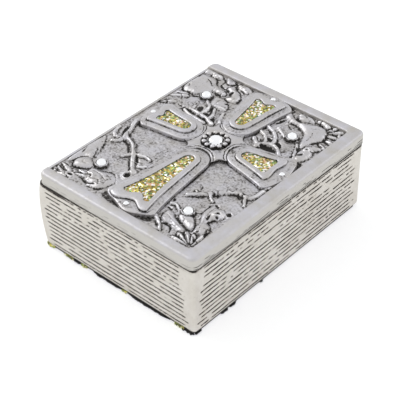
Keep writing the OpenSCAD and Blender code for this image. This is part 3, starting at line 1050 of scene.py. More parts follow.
@dataclass(frozen=True)
class Fabric(Finish):
    """Wool felt or cotton velvet, dyed through.

    To the eye: a matt dark cloth with a fine fuzz that catches light at its edges.

    Attributes:
        name: the material's name.
        dye, lint: the cloth's colour and that of its loose fibres.
        pile: the fuzz's size.
        sheen: how much light it catches.
    """

    name: str
    dye: str
    lint: str
    pile: float
    sheen: float

    def feed(self, tree: Tree, place: Socket) -> dict[str, Any]:
        """Makes the nodes that feed the shader.

        Args:
            tree: the material's nodes.
            place: where the point lies.

        Returns:
            A constant or an output for each of the shader's inputs.
        """
        fuzz = noise(tree, place, self.pile, 5.0, 0.75)
        share = maths(tree, "MULTIPLY", fuzz, noise(tree, place, 14, 2.0))
        shade = ramp(tree, share, [(0.12, colour(self.dye)), (0.5, colour(self.lint))])
        cloth = {"Base Color": shade, "Roughness": 0.95, "Normal": emboss(tree, fuzz, 0.8, 0.12)}
        return {**cloth, "Sheen Weight": self.sheen, "Sheen Roughness": 0.4}


@dataclass(frozen=True)
class TurnedMetal(Finish):
    """Drawn steel or nickel plate, turned round.

    To the eye: a smooth grey metal with faint scratches.

    Attributes:
        name: the material's name.
        metal: its colour.
        roughness: how blurred it reflects.
    """

    name: str
    metal: str
    roughness: float

    def feed(self, tree: Tree, place: Socket) -> dict[str, Any]:
        """Makes the nodes that feed the shader.

        Args:
            tree: the material's nodes.
            place: where the point lies.

        Returns:
            A constant or an output for each of the shader's inputs.
        """
        along = node(tree, "Mapping", inputs={"Vector": place, "Scale": (1.0, 0.15, 1.0)})
        scratch = noise(tree, along.outputs["Vector"], 0.3, 4.0, 0.7)
        low, high = self.roughness * 0.7, self.roughness * 1.4
        return {
            "Base Color": ramp(tree, scratch, [(0.25, grey(0.25)), (0.6, colour(self.metal))]),
            "Metallic": 1.0,
            "Roughness": remap(tree, scratch, low, high),
        }


class Paintbox:
    """The finishes of the box, each made once."""

    def __init__(self, sizes: Sizes) -> None:
        """Makes every material.

        Args:
            sizes: the box's sizes, for the lines along the cover's sides.
        """
        low = sizes.cover_bottom
        # The base gets a paler, warmer copy of the cast metal than the cover: painted light on its
        # upright sides, which are the same plated casting as the cover's top
        side_metal = CastSilver(
            "cast_silver_sides", silver="D9D5D0", warm="CDC8C1", grime_and_shade="63574C", patina_and_shade="18120D",
            roughness=0.45, pitting=1.5, speckle=1.1,
        )
        cover_metal = CastSilver(
            "cast_silver_cover", silver="C4C3C9", warm="B9B6B1", roughness=0.52, pitting=2.0,
            speckle=0.9, upright="C9C6C2", lines=(low + 0.7, low + 1.5, low + 2.4),
        )
        # The near-white strays are partly painted sparkle
        stray = "77741F A8A640 D8D690 8FA04A F2F1DC 5F6A2A C9BE55 3F3D1B"
        self.side_metal = side_metal.build()
        self.cover_metal = cover_metal.build()
        self.stray_glitter = GlitterEnamel("stray_glitter", 0.7, 0.4, stray).build()
        finishes = {
            Slot.METAL: CastSilver(),
            Slot.PIN: TurnedMetal("drawn_steel", "A9AAAD", 0.28),
            Slot.MAGNET: TurnedMetal("nickel_plate", "C2BFB8", 0.18),
            Slot.FELT: Fabric("black_wool_felt", "0B0A0A", "2C2926", 0.5, 0.3),
            Slot.VELVET: Fabric("black_cotton_velvet", "0A0A0C", "25252B", 0.35, 0.8),
            Slot.GLITTER: GlitterEnamel(),
            Slot.CRYSTAL: FoiledCrystal(),
        }
        self.materials = {slot: finish.build() for slot, finish in finishes.items()}

    def dress(self, piece: Object, slot: Slot, body: Body, replaces: Sequence[str] = (),
            material: Optional[Material] = None) -> Object:
        """Gives a piece its finish and its body.

        Args:
            piece: the piece, at its place.
            slot: the record's material slot.
            body: the body it moves with.
            replaces: the solids that it stands for.
            material: another finish than the slot's usual one.

        Returns:
            The same piece.
        """
        piece.data.materials.clear()
        piece.data.materials.append(material or self.materials[slot])
        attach(piece, body.value)
        if replaces:
            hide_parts(*replaces)
        LOG.info("%s: %d faces, rides on %s", piece.name, len(piece.data.polygons), body.value)
        return piece

    def dress_solid(self, solid: Object, slot: Slot) -> None:
        """Gives a solid of the frame its finish.

        Args:
            solid: the solid's object.
            slot: the record's material slot.
        """
        for place in solid.material_slots:
            place.material = self.materials[slot]
        LOG.info("%s keeps its solid", solid.name)


# Parts that the base and the cover both have


def magnet_boss(sizes: Sizes, low: float, high: float, upward: bool) -> Object:
    """Turns a boss for a closing magnet.

    Args:
        sizes: the box's sizes.
        low: height of its lower end.
        high: height of its upper end.
        upward: whether the magnet's pocket is in the upper end.

    Returns:
        The boss, with its pocket.
    """
    chamfer = 0.15
    end, way = (high, 1) if upward else (low, -1)
    ob = bar("boss", sizes.boss_r, (sizes.boss_x, 0, low), (sizes.boss_x, 0, high), chamfer)
    select_faces(ob, lambda middle, normal: normal.z * way > 0.99 and abs(middle.z - end) < NEAR)
    bpy.ops.mesh.inset(thickness=(sizes.boss_r - chamfer - sizes.magnet_r) * MM, depth=0)
    sunk = (0, 0, -way * sizes.magnet_t * MM)
    bpy.ops.mesh.extrude_region_move(TRANSFORM_OT_translate={"value": sunk})
    leave_edit()
    return finish_mesh(ob)


def hinge_bars(name: str, sizes: Sizes, middles: Sequence[float], half: float, r: float,
        chamfer: float) -> list[Object]:
    """Turns bars along the hinge's line.

    Args:
        name: what they are.
        sizes: the box's sizes.
        middles: each one's middle along the line.
        half: half their length.
        r: their radius.
        chamfer: how far their edges are taken off.

    Returns:
        The bars.
    """
    x, z = sizes.hinge
    return [bar(name, r, (x, y - half, z), (x, y + half, z), chamfer) for y in middles]


# The base


@dataclass
class PageBlock:
    """The base: page sides with hand-cut lines, a rounded spine and the cavity.

    Attributes:
        sizes: the box's sizes.
        pitch: distance between two page lines.
        depth: depth of a page line.
        column: distance between two points along a lined side.
        first_line: height of the lowest line above the felt.
        last_gap: plain metal above the highest line.
        corner_r, spine_corner_r, inner_r: radius of the page side's corners, the spine's and
            the cavity's.
        foot_r: rounding of the lower edge.
        spine_tuck, tuck_h: how far the spine draws in under the cover, and from how far below.
        near_plain, page_plain: where the front's and the page side's lines end before their
            shared corner, for the lowest line and the highest.
        far_plain: the same at the other ends.
        corner_steps, spine_steps, foot_steps: straight runs of these stretches.
    """

    sizes: Sizes
    pitch: float = 1.98
    depth: float = 0.42
    column: float = 0.5
    first_line: float = 1.65
    last_gap: float = 1.2
    corner_r: float = 1.6
    foot_r: float = 1.0
    inner_r: float = 2.0
    spine_corner_r: float = 3.4
    spine_tuck: float = 0.6
    tuck_h: float = 6.0
    near_plain: tuple[float, float] = (0.6, 4.4)
    page_plain: tuple[float, float] = (0.8, 3.0)
    far_plain: float = 2.6
    corner_steps: int = 6
    spine_steps: int = 50
    foot_steps: int = 4

    def columns(self) -> list[tuple[str, float]]:
        """Lists where the points lie round the plan.

        Returns:
            For each point its stretch and its share along that stretch.
        """
        s = self.sizes
        along_x = round((s.page_x - s.spine_x) / self.column)
        along_y = round(2 * s.base_half_d / self.column)
        turn = self.corner_steps
        counts = {"front": along_x, "near": turn, "page": along_y, "far": turn}
        counts |= {"back": along_x, "spine_back": turn}
        length = 2 * (s.base_half_d - self.spine_corner_r)
        even = np.linspace(-length / 2, length / 2, self.spine_steps).tolist()
        spine = sorted({*even, *self.notch_ends()}, reverse=True)
        found = [(name, i / count) for name, count in counts.items() for i in range(count)]
        found += [("spine", 0.5 - y / length) for y in spine[:-1]]
        return found + [("spine_front", i / turn) for i in range(turn)]

    def notch_ends(self) -> list[float]:
        """Gives where the notches of the cover's knuckles begin and end along the spine."""
        s = self.sizes
        half = s.cover_knuckle / 2 + s.hinge_gap
        thin = 0.01
        return [middle + side * (half + extra) for middle in s.hinge_middles for side in (-1, 1)
            for extra in (0, thin)]

    def plan(self, x0: float, x1: float, half_d: float, r: float, spine_r: float) -> np.ndarray:
        """Places every column on a rectangle with round corners.

        Args:
            x0: the spine side.
            x1: the page side.
            half_d: half the depth.
            r: the page side's corners' radius.
            spine_r: the spine side's corners' radius.

        Returns:
            One row for each column.
        """
        centres = {"near": (x1 - r, r - half_d, r, -90), "far": (x1 - r, half_d - r, r, 0),
            "spine_back": (x0 + spine_r, half_d - spine_r, spine_r, 90),
            "spine_front": (x0 + spine_r, spine_r - half_d, spine_r, 180)}
        straight = x1 - x0 - r - spine_r
        points = []
        for stretch, t in self.columns():
            if stretch in centres:
                cx, cy, reach, start = centres[stretch]
                a = math.radians(start + 90 * t)
                points.append((cx + reach * math.cos(a), cy + reach * math.sin(a)))
            elif stretch == "front":
                points.append((x0 + spine_r + straight * t, -half_d))
            elif stretch == "back":
                points.append((x1 - r - straight * t, half_d))
            elif stretch == "page":
                points.append((x1, (2 * t - 1) * (half_d - r)))
            else:
                points.append((x0, (1 - 2 * t) * (half_d - spine_r)))
        return np.array(points)

    def spine_at(self, z: float) -> float:
        """Gives where the spine's face lies at a height, tucked in under the cover."""
        s = self.sizes
        rise = min(max(1 - (s.base_top - z) / self.tuck_h, 0.0), 1.0)
        return s.spine_at(z) + self.spine_tuck * rise * rise

    def outer(self, z: float, inset: float = 0.0) -> np.ndarray:
        """Gives the outside at a height.

        Args:
            z: the height.
            inset: how far inside it the points lie.

        Returns:
            One row for each column.
        """
        s = self.sizes
        both = (self.corner_r, self.spine_corner_r)
        r, spine_r = (full - min(inset, full - 0.2) for full in both)
        return self.plan(self.spine_at(z) + inset, s.page_x - inset, s.base_half_d - inset, r,
            spine_r)

    def line_heights(self) -> np.ndarray:
        """Gives the page lines' heights."""
        s = self.sizes
        low, high = s.pad_top + self.first_line, s.base_top - self.last_gap
        return np.arange(low, high, self.pitch)

    def line_strength(self, level: int, grain: Grain) -> np.ndarray:
        """Says how deep one page line is cut at each column.

        Args:
            level: the line's number, from the foot up.
            grain: random values.

        Returns:
            A share from 0 to 1 for each column.
        """
        heights = self.line_heights()
        rise = level / (len(heights) - 1)
        points = self.outer(heights[level])
        strength = np.zeros(len(points))
        stretches = [name for name, _ in self.columns()]
        plains = (self.near_plain, self.page_plain)
        front, page = (low + (high - low) * rise for low, high in plains)
        # Each side takes its own part of the random values
        sides = (("front", 3.0, front), ("page", 41.0, page), ("back", 83.0, self.far_plain))
        for name, shift, near in sides:
            mask = np.array([n == name for n in stretches])
            along = points[mask, 1 if name == "page" else 0]
            low, high = along.min(), along.max()
            start, stop = low + near, high - self.far_plain
            if name == "front":
                start, stop = low + self.far_plain - 1.4, high - near
            row = np.full_like(along, level * 7.3 + shift)
            ragged = 1.7 * grain.at(row, row * 0.7, 1.0)
            ends = smooth_step((along - start - ragged) / 1.0) * smooth_step((stop - ragged - along)
                / 1.0)
            broken = grain.layered(along + shift, row, 6.0, 3)
            weight = grain.layered(along - shift, row + 3, 2.2, 3)
            dashes = grain.at(along + 5 * shift, row * 1.7, 1.3)
            # The lines break up in patches, most of all high on the sides
            patch = grain.layered(along - 3 * shift, row * 0.45, 8.0, 2)
            patch = smooth_step((patch + 0.6 * rise - 0.42) / 0.4)
            kept = smooth_step((broken + 0.6 - 0.15 * rise) / 0.2)
            kept = kept * (1 - patch * (1 - smooth_step((dashes + 0.25) / 0.25)))
            strength[mask] = ends * kept * (0.85 + 0.5 * weight)
        return np.clip(strength, 0, 1)

    def side_rings(self) -> list[Ring]:
        """Cuts the lines into the sides.

        Returns:
            The rings, from the foot to the shoulder.
        """
        s = self.sizes
        grain = Grain(Seed.PAGE_LINES)
        rings = []
        foot_z = s.pad_top
        for i in range(self.foot_steps + 1):
            a = math.radians(90 * i / self.foot_steps)
            drop = self.foot_r * (1 - math.sin(a))
            z = foot_z + self.foot_r - self.foot_r * math.cos(a)
            rings.append(ring(self.outer(z, drop), z, 0.25))
        # Across a line: the height off its middle, the share of its depth, and its patina
        rows = ((-0.62, -0.02, 0.0), (-0.4, 0.0, 0.1), (-0.2, 0.7, 1.1), (0.0, 1.0, 1.4))
        rows += ((0.2, 0.7, 1.1), (0.4, 0.0, 0.1), (0.62, -0.02, 0.0))
        at = self.outer(s.spine_crown_z)
        along = at[:, 0] + at[:, 1]
        turned = at[:, 0] - at[:, 1]
        heights = self.line_heights()
        for level, height in enumerate(heights):
            strength = self.line_strength(level, grain)
            wander = 0.16 * grain.layered(along + 9 * level, turned + 31 * level, 9, 3)
            girth = 1 + 0.45 * grain.layered(along - 5 * level, turned - 13 * level, 3.5, 2)
            girth = girth * np.where(at[:, 0] > s.page_x - 0.2, 1.45, 0.95)
            for offset, share, dark in rows:
                z = height + wander + offset * (girth if share > 0.5 else 1.0)
                inset = self.depth * share * strength
                outside = self.outer(height + offset)
                inside = self.outer(height + offset, 1.0)
                points = outside + (inside - outside) * inset[:, None]
                # Painted shadow: the top of the wall darkens under the cover's seam at the spine
                # end of the front
                under_cover_shadow = self.seam_gap_shadow(at) * smooth_step((height + offset - heights[-1] + 0.3)
                    / 0.8)
                patina_and_shade = np.maximum(dark * strength, under_cover_shadow)
                rings.append(Ring(np.column_stack([points, z]), patina_and_shade))
        return rings

    @staticmethod
    def seam_gap_shadow(points: np.ndarray) -> np.ndarray:
        """Says how dark a shadow is painted for the seam under the cover at the spine end of the
        front.

        Args:
            points: the places round the plan.

        Returns:
            A share from 0 to 1 for each.
        """
        return smooth_step((-23 - points[:, 0]) / 9) * (points[:, 1] < 0)

    def crest(self) -> list[Ring]:
        """Takes the wall's edge over into the cavity, with the notches for the cover's knuckles.

        Returns:
            The rings, from the shoulder over the edge and down to the cavity's floor.
        """
        s = self.sizes
        hinge_x, hinge_z = s.hinge
        shoulder = s.base_top - 1.2
        left = self.spine_at(shoulder)
        right = -s.half_w + s.spine_wall
        outer = self.outer(shoulder)
        inner = self.plan(right, s.page_x - s.wall, s.base_half_d - s.wall, self.inner_r,
            self.inner_r)
        # Painted shadow of the seam: blacker at the spine end of the front and the far end of the
        # pages
        open_seam_shadow = smooth_step((-6 - outer[:, 0]) / 14) * (outer[:, 1] < 0)
        page_seam_shadow = 0.55 + 0.45 * smooth_step((outer[:, 1] - 10) / 20)
        open_seam_shadow = np.maximum(open_seam_shadow, page_seam_shadow * (outer[:, 0] > s.page_x - 0.2))
        top = s.base_top
        # Over the edge: the share of the way across the wall, and the height
        side_shape = [(0, shoulder), (0, top - 0.8), (0, top - 0.4), (0.02, top - 0.17),
            (0.07, top - 0.04)]
        side_shape += [(0.13, top), (0.35, top), (0.6, top), (0.88, top), (0.97, top - 0.06)]
        side_shape += [(1, top - 0.25), (1, top - 1.5)]
        slope_end = 0.57
        spine_shape = [(slope_end * i / 5, shoulder + (top - shoulder) * i / 5) for i in range(6)]
        spine_shape += [(0.66, top), (0.8, top), (0.95, top), (0.99, top - 0.06), (1, top - 0.25),
            (1, top - 1.5)]
        notch_r = s.knuckle_r + s.hinge_gap
        notch_shape = [(0, shoulder), (0.166, shoulder + 0.35)]
        for x, z in arc(hinge_x, hinge_z, notch_r, 222, 340, 5)[:5]:
            notch_shape.append(((x - left) / (right - left), z))
        notch_shape += [((hinge_x + notch_r - left) / (right - left), top)] + spine_shape[8:]
        half = s.cover_knuckle / 2 + s.hinge_gap + 0.005
        rings = []
        for k in range(len(side_shape)):
            shares, heights = [], []
            for (stretch, t), (_, y) in zip(self.columns(), outer):
                shape = side_shape[k]
                if stretch == "spine":
                    in_notch = any(abs(y - middle) < half for middle in s.hinge_middles)
                    shape = (notch_shape if in_notch else spine_shape)[k]
                elif stretch in ("spine_back", "spine_front"):
                    w = t if stretch == "spine_back" else 1 - t
                    a, b = side_shape[k], spine_shape[k]
                    shape = (a[0] * (1 - w) + b[0] * w, a[1] * (1 - w) + b[1] * w)
                shares.append(shape[0])
                heights.append(shape[1])
            points = outer + (inner - outer) * np.array(shares)[:, None]
            # The edge under the cover is painted black as the seam's shadow, half as dark across
            # its top
            patina_and_shade = 1.0 if k < 6 else 0.5 if k < 9 else 0.3
            if k < 2:
                patina_and_shade = (0.05 + 0.95 * self.seam_gap_shadow(outer), 0.1 + 0.9 * open_seam_shadow)[k]
            rings.append(Ring(np.column_stack([points, heights]), patina_and_shade))
        floor_z = s.pad_top + s.floor_t
        for z, inset in ((floor_z + 0.8, 0.0), (floor_z + 0.25, 0.2), (floor_z, 0.8)):
            points = self.plan(right + inset, s.page_x - s.wall - inset, s.base_half_d - s.wall
                - inset, self.inner_r - inset / 2, self.inner_r - inset / 2)
            rings.append(ring(points, z, 0.35))
        return rings

    def boss(self) -> Object:
        """Stands the magnet's boss against the page side.

        Returns:
            The boss, with its pocket.
        """
        s = self.sizes
        return magnet_boss(s, s.pad_top + s.floor_t / 2, s.base_top, True)

    def knuckles(self) -> list[Object]:
        """Turns the base's four knuckles.

        Returns:
            The knuckles.
        """
        s = self.sizes
        half = s.base_knuckle / 2
        return hinge_bars("knuckle", s, s.base_knuckle_middles, half, s.knuckle_r, 0.15)

    def build(self, paints: Paintbox) -> None:
        """Builds and dresses the base.

        Args:
            paints: the finishes.
        """
        shell = loft("base_shell", self.side_rings() + self.crest(), 40)
        whole = join("base_shell", [shell, self.boss(), *self.knuckles()])
        paints.dress(finish_mesh(whole, 40), Slot.METAL, Body.BASE, ["base_body"],
            paints.side_metal)


# The cover


@dataclass
class CoverShell:
    """The cover without its relief: sides, U-shaped rim, spine lip, recess, knuckles and boss.

    Attributes:
        sizes: the box's sizes.
        corner_r: radius of the corners seen from above.
        edge_r: rounding of the upper edge.
        lip_r: rounding of the lower edge.
        inner_r, panel_r: radius of the recess's corners and of the panel's.
        sink: how deep the relief's bed lies under the panel.
        soft_steps, lip_steps: straight runs of the larger roundings and of the smallest.
    """

    sizes: Sizes
    corner_r: float = 2.8
    edge_r: float = 1.3
    lip_r: float = 0.4
    inner_r: float = 2.0
    panel_r: float = 1.2
    sink: float = 0.5
    soft_steps: int = 8
    lip_steps: int = 3

    def block(self) -> Object:
        """Shapes the outside from a cube.

        Returns:
            The block, with its edges rounded.
        """
        s = self.sizes
        deselect()
        middle_z = (s.rim_z + s.cover_bottom) / 2
        bpy.ops.mesh.primitive_cube_add(size=1, location=(0, 0, middle_z * MM))
        ob = bpy.context.object
        ob.name = "cover_shell"
        ob.scale = (2 * s.half_w * MM, 2 * s.half_d * MM, s.side * MM)
        bpy.ops.object.transform_apply(location=True, rotation=True, scale=True)
        select_edges(ob, lambda a, b: abs(a.x - b.x) < NEAR and abs(a.y - b.y) < NEAR)
        bpy.ops.mesh.bevel(offset=self.corner_r * MM, segments=self.soft_steps, affect="EDGES")
        leave_edit()
        select_edges(ob, lambda a, b: min(a.z, b.z) > s.rim_z - NEAR)
        bpy.ops.mesh.bevel(offset=self.edge_r * MM, segments=self.soft_steps, affect="EDGES")
        leave_edit()
        select_edges(ob, lambda a, b: max(a.z, b.z) < s.cover_bottom + NEAR)
        bpy.ops.mesh.bevel(offset=self.lip_r * MM, segments=self.lip_steps, affect="EDGES")
        leave_edit()
        return ob

    def panel_cutter(self) -> Object:
        """Shapes what is taken out for the panel, flared at its mouth so that the rim is soft."""
        s = self.sizes
        # For each level its height, and how far the outline grows there
        levels = ((s.panel_z - self.sink, 0.0), (s.rim_z - 0.5, 0.0), (s.rim_z - 0.3, 0.06))
        levels += ((s.rim_z - 0.1, 0.2), (s.rim_z, 0.45), (s.rim_z + 1, 2.0))
        left, right, half_d = s.lip_w - s.half_w, s.half_w - s.page_rim_w, s.half_d - s.rim_w
        rings = []
        for z, grow in levels:
            outline = round_rect(left - grow, right + grow, half_d + grow, self.panel_r + grow)
            rings.append(ring(outline, z))
        return loft("panel_cutter", rings)

    def lip_cutter(self) -> Object:
        """Shapes what is taken off the spine side, down to its low lip."""
        s = self.sizes
        low = s.panel_z + s.lip_h
        levels = ((low, 0.0), (s.rim_z - 0.4, 0.0), (s.rim_z - 0.12, 0.12), (s.rim_z + 0.2, 0.5))
        rings = [ring(round_rect(-s.half_w - 3, 0, s.half_d - s.rim_w + grow, self.panel_r), z)
            for z, grow in levels]
        return loft("lip_cutter", rings)

    def recess_cutter(self) -> Object:
        """Shapes the recess under the cover."""
        s = self.sizes
        half_w, half_d = s.half_w - s.cover_wall, s.half_d - s.cover_wall
        top = s.panel_z - s.skin
        levels = ((s.cover_bottom - 1, 0.6), (s.cover_bottom, 0.2), (s.cover_bottom + 0.2, 0.0))
        levels += ((top - 0.3, 0.0), (top, -0.3))
        rings = [ring(round_rect(-half_w - grow, half_w + grow, half_d + grow, self.inner_r), z)
            for z, grow in levels]
        return loft("recess_cutter", rings)

    def notch_cutters(self) -> list[Object]:
        """Shapes the room for the base's four knuckles."""
        s = self.sizes
        half, r = s.base_knuckle / 2 + s.hinge_gap, s.knuckle_r + s.hinge_gap
        return hinge_bars("notch", s, s.base_knuckle_middles, half, r, 0)

    def boss(self) -> Object:
        """Hangs the magnet's boss under the cover.

        Returns:
            The boss, with its pocket.
        """
        s = self.sizes
        return magnet_boss(s, s.cover_bottom, s.panel_z - s.skin + 0.3, False)

    def knuckles(self) -> list[Object]:
        """Turns the cover's two knuckles."""
        s = self.sizes
        half = s.cover_knuckle / 2
        return hinge_bars("knuckle", s, s.hinge_middles, half, s.knuckle_r, 0.15)

    def build(self, paints: Paintbox) -> None:
        """Builds and dresses the shell.

        Args:
            paints: the finishes.
        """
        block = self.block()
        cutters = [self.panel_cutter(), self.lip_cutter(), self.recess_cutter()]
        shell = cut(block, cutters + self.notch_cutters())
        finish_mesh(shell, 40)
        whole = finish_mesh(join("cover_shell", [shell, self.boss(), *self.knuckles()]), 40)
        paint(whole, np.array([self.grime_and_shade(v.co / MM) for v in whole.data.vertices]))
        paints.dress(whole, Slot.METAL, Body.COVER, ["cover"], paints.cover_metal)

    def grime_and_shade(self, point: Vector) -> float:
        """Says how dark the shell is at a point.

        Args:
            point: the point, in millimetres.

        Returns:
            The patina's share.
        """
        s = self.sizes
        # The lower edge is painted black as the shadow in the seam
        if point.z < s.cover_bottom + 0.3:
            return 1.0
        panel_x = (s.lip_w - s.page_rim_w) / 2
        inside = abs(point.x - panel_x) < s.half_w - 3 and abs(point.y) < s.half_d - 4
        if inside and s.panel_z - 0.8 < point.z < s.rim_z - 0.6:
            return 0.75
        return 0.05


@dataclass(frozen=True)
class Cross:
    """Where the cross and its crystals lie, and the shape of its arms.

    Attributes:
        sizes: the box's sizes.
        x: the centre's X.
        y: the centre's Y.
        turn: the cross's turn, in degrees.
        frame_w, step_w: width of the metal round an inlay, and of the lower step round that.
        step_h, arm_h, hub_h: height of the lower step, the upper one and the hub.
        start, half_in: where the inlays begin, and half their width there.
        pocket, inlay_t: depth of an inlay's pocket, and the inlay's thickness.
        crystal_d, centre_d, corner_d: diameter of the arms' crystals and the two other kinds.
        cup_wall, seat, seat_gap: a cup's wall, how deep it holds its crystal, as a share of the
            diameter, and the play round it.
        bead_d, beads, bead_sink: a bead's diameter, their number, and how far each is sunk in.
        ring_depth: how deep the bead's ring lies under the hub.
        centre_cup_h, corner_cup_h: height of these cups over the hub and over the panel.
        end_round, pocket_round: how far the corners at the outer ends are rounded back.
    """

    sizes: Sizes
    x: float = -0.7
    y: float = 6.8
    turn: float = 1.2
    frame_w: float = 2.3
    step_w: float = 2.3
    step_h: float = 1.5
    arm_h: float = 2.7
    hub_h: float = 2.0
    start: float = 13.0
    half_in: float = 2.2
    pocket: float = 1.0
    inlay_t: float = 0.7
    crystal_d: float = 2.3
    cup_wall: float = 0.6
    centre_d: float = 6.2
    corner_d: float = 4.0
    bead_d: float = 2.1
    beads: int = 11
    bead_sink: float = 0.25
    ring_depth: float = 0.6
    centre_cup_h: float = 0.2
    corner_cup_h: float = 1.3
    seat: float = 0.15
    end_round: float = 1.4
    pocket_round: float = 1.1
    seat_gap: float = 0.05

    @property
    def step_z(self) -> float:
        """Height of the lower step."""
        return self.sizes.panel_z + self.step_h

    @property
    def arm_z(self) -> float:
        """Height of the upper step."""
        return self.sizes.panel_z + self.arm_h

    @property
    def hub_z(self) -> float:
        """Height of the hub."""
        return self.sizes.panel_z + self.hub_h

    @property
    def pocket_z(self) -> float:
        """Height of the floor under an inlay."""
        return self.arm_z - self.pocket

    def place(self, points: np.ndarray, turn: float = 0.0) -> np.ndarray:
        """Puts points drawn about the cross's centre where they belong.

        Args:
            points: one row for each point, with or without a height.
            turn: a further turn about the centre, in degrees.

        Returns:
            The points on the box.
        """
        a = math.radians(turn + self.turn)
        moved = np.array(points, float)
        x, y = moved[:, 0].copy(), moved[:, 1].copy()
        moved[:, 0] = self.x + x * math.cos(a) - y * math.sin(a)
        moved[:, 1] = self.y + x * math.sin(a) + y * math.cos(a)
        return moved


@dataclass(frozen=True)
class Arm:
    """One arm of the cross.

    Attributes:
        name: which arm it is.
        turn: its turn, in degrees.
        reach: from the cross's centre to its crystal.
        half_out: half the inlay's width at its outer end.
        notch: depth of the notch in that end.
        extra: further metal between the inlay and the crystal.
        lobe, nook: how far the frame's end reaches out, and the notch in it.
        bulge: how far the lower step's end bends out.
        inner: how much further in the lower step begins.
        waist: how far the sides are drawn in.
        skew: how far the end's notch lies off the middle.
    """

    name: str
    turn: float
    reach: float
    half_out: float
    notch: float
    extra: float = 0.0
    lobe: float = 0.0
    nook: float = 0.0
    bulge: float = 1.5
    inner: float = 0.0
    waist: float = 0.25
    skew: float = 0.0

    def outer(self, cross: Cross) -> float:
        """Gives where the inlay ends."""
        return self.reach - cross.frame_w - cross.crystal_d / 2 - cross.cup_wall - self.extra

    def outline(self, cross: Cross, grow: float, end: float, notch: float, corner: float,
            round_steps: int = 24, end_steps: int = 32) -> np.ndarray:
        """Draws the arm along +X: a round inner end, straight flared sides, a shaped outer end.

        Args:
            cross: the cross.
            grow: how far outside the inlay the outline runs.
            end: where its outer end lies.
            notch: depth of the notch in that end.
            corner: how far the end's corners are rounded back.
            round_steps: straight runs round the inner end.
            end_steps: straight runs along the outer end.

        Returns:
            The closed outline.
        """
        outer = self.outer(cross)
        slope = math.atan2(self.half_out - cross.half_in, outer - cross.start - cross.half_in)
        r = cross.half_in + grow
        widened = (grow - cross.frame_w) / cross.step_w
        middle = cross.start + cross.half_in - self.inner * min(max(widened, 0.0), 1.0)
        first_x, first_y = middle - r * math.sin(slope), r * math.cos(slope)
        end_y = first_y + (end - first_x) * math.tan(slope)
        a = math.degrees(slope)
        points = arc(middle, 0, r, 90 + a, 270 - a, round_steps)
        side_steps = 14
        low = np.array(points[-1])
        tip = np.array([end - corner, -end_y])
        run = []
        for i in range(1, side_steps):
            t = i / side_steps
            pull = self.waist * math.sin(math.pi * t**1.7)
            run.append(low + (tip - low) * t + np.array([0.0, pull]))
        points += [tuple(p) for p in run]
        for i in range(end_steps + 1):
            u = 2 * i / end_steps - 1
            v = u - self.skew * (1 - u * u)
            x = end - notch * ((1 + math.cos(math.pi * v)) / 2) ** 1.8 - corner * abs(u) ** 6
            points.append((x, u * end_y))
        points += [(p[0], -p[1]) for p in reversed(run)]
        return np.array(points)


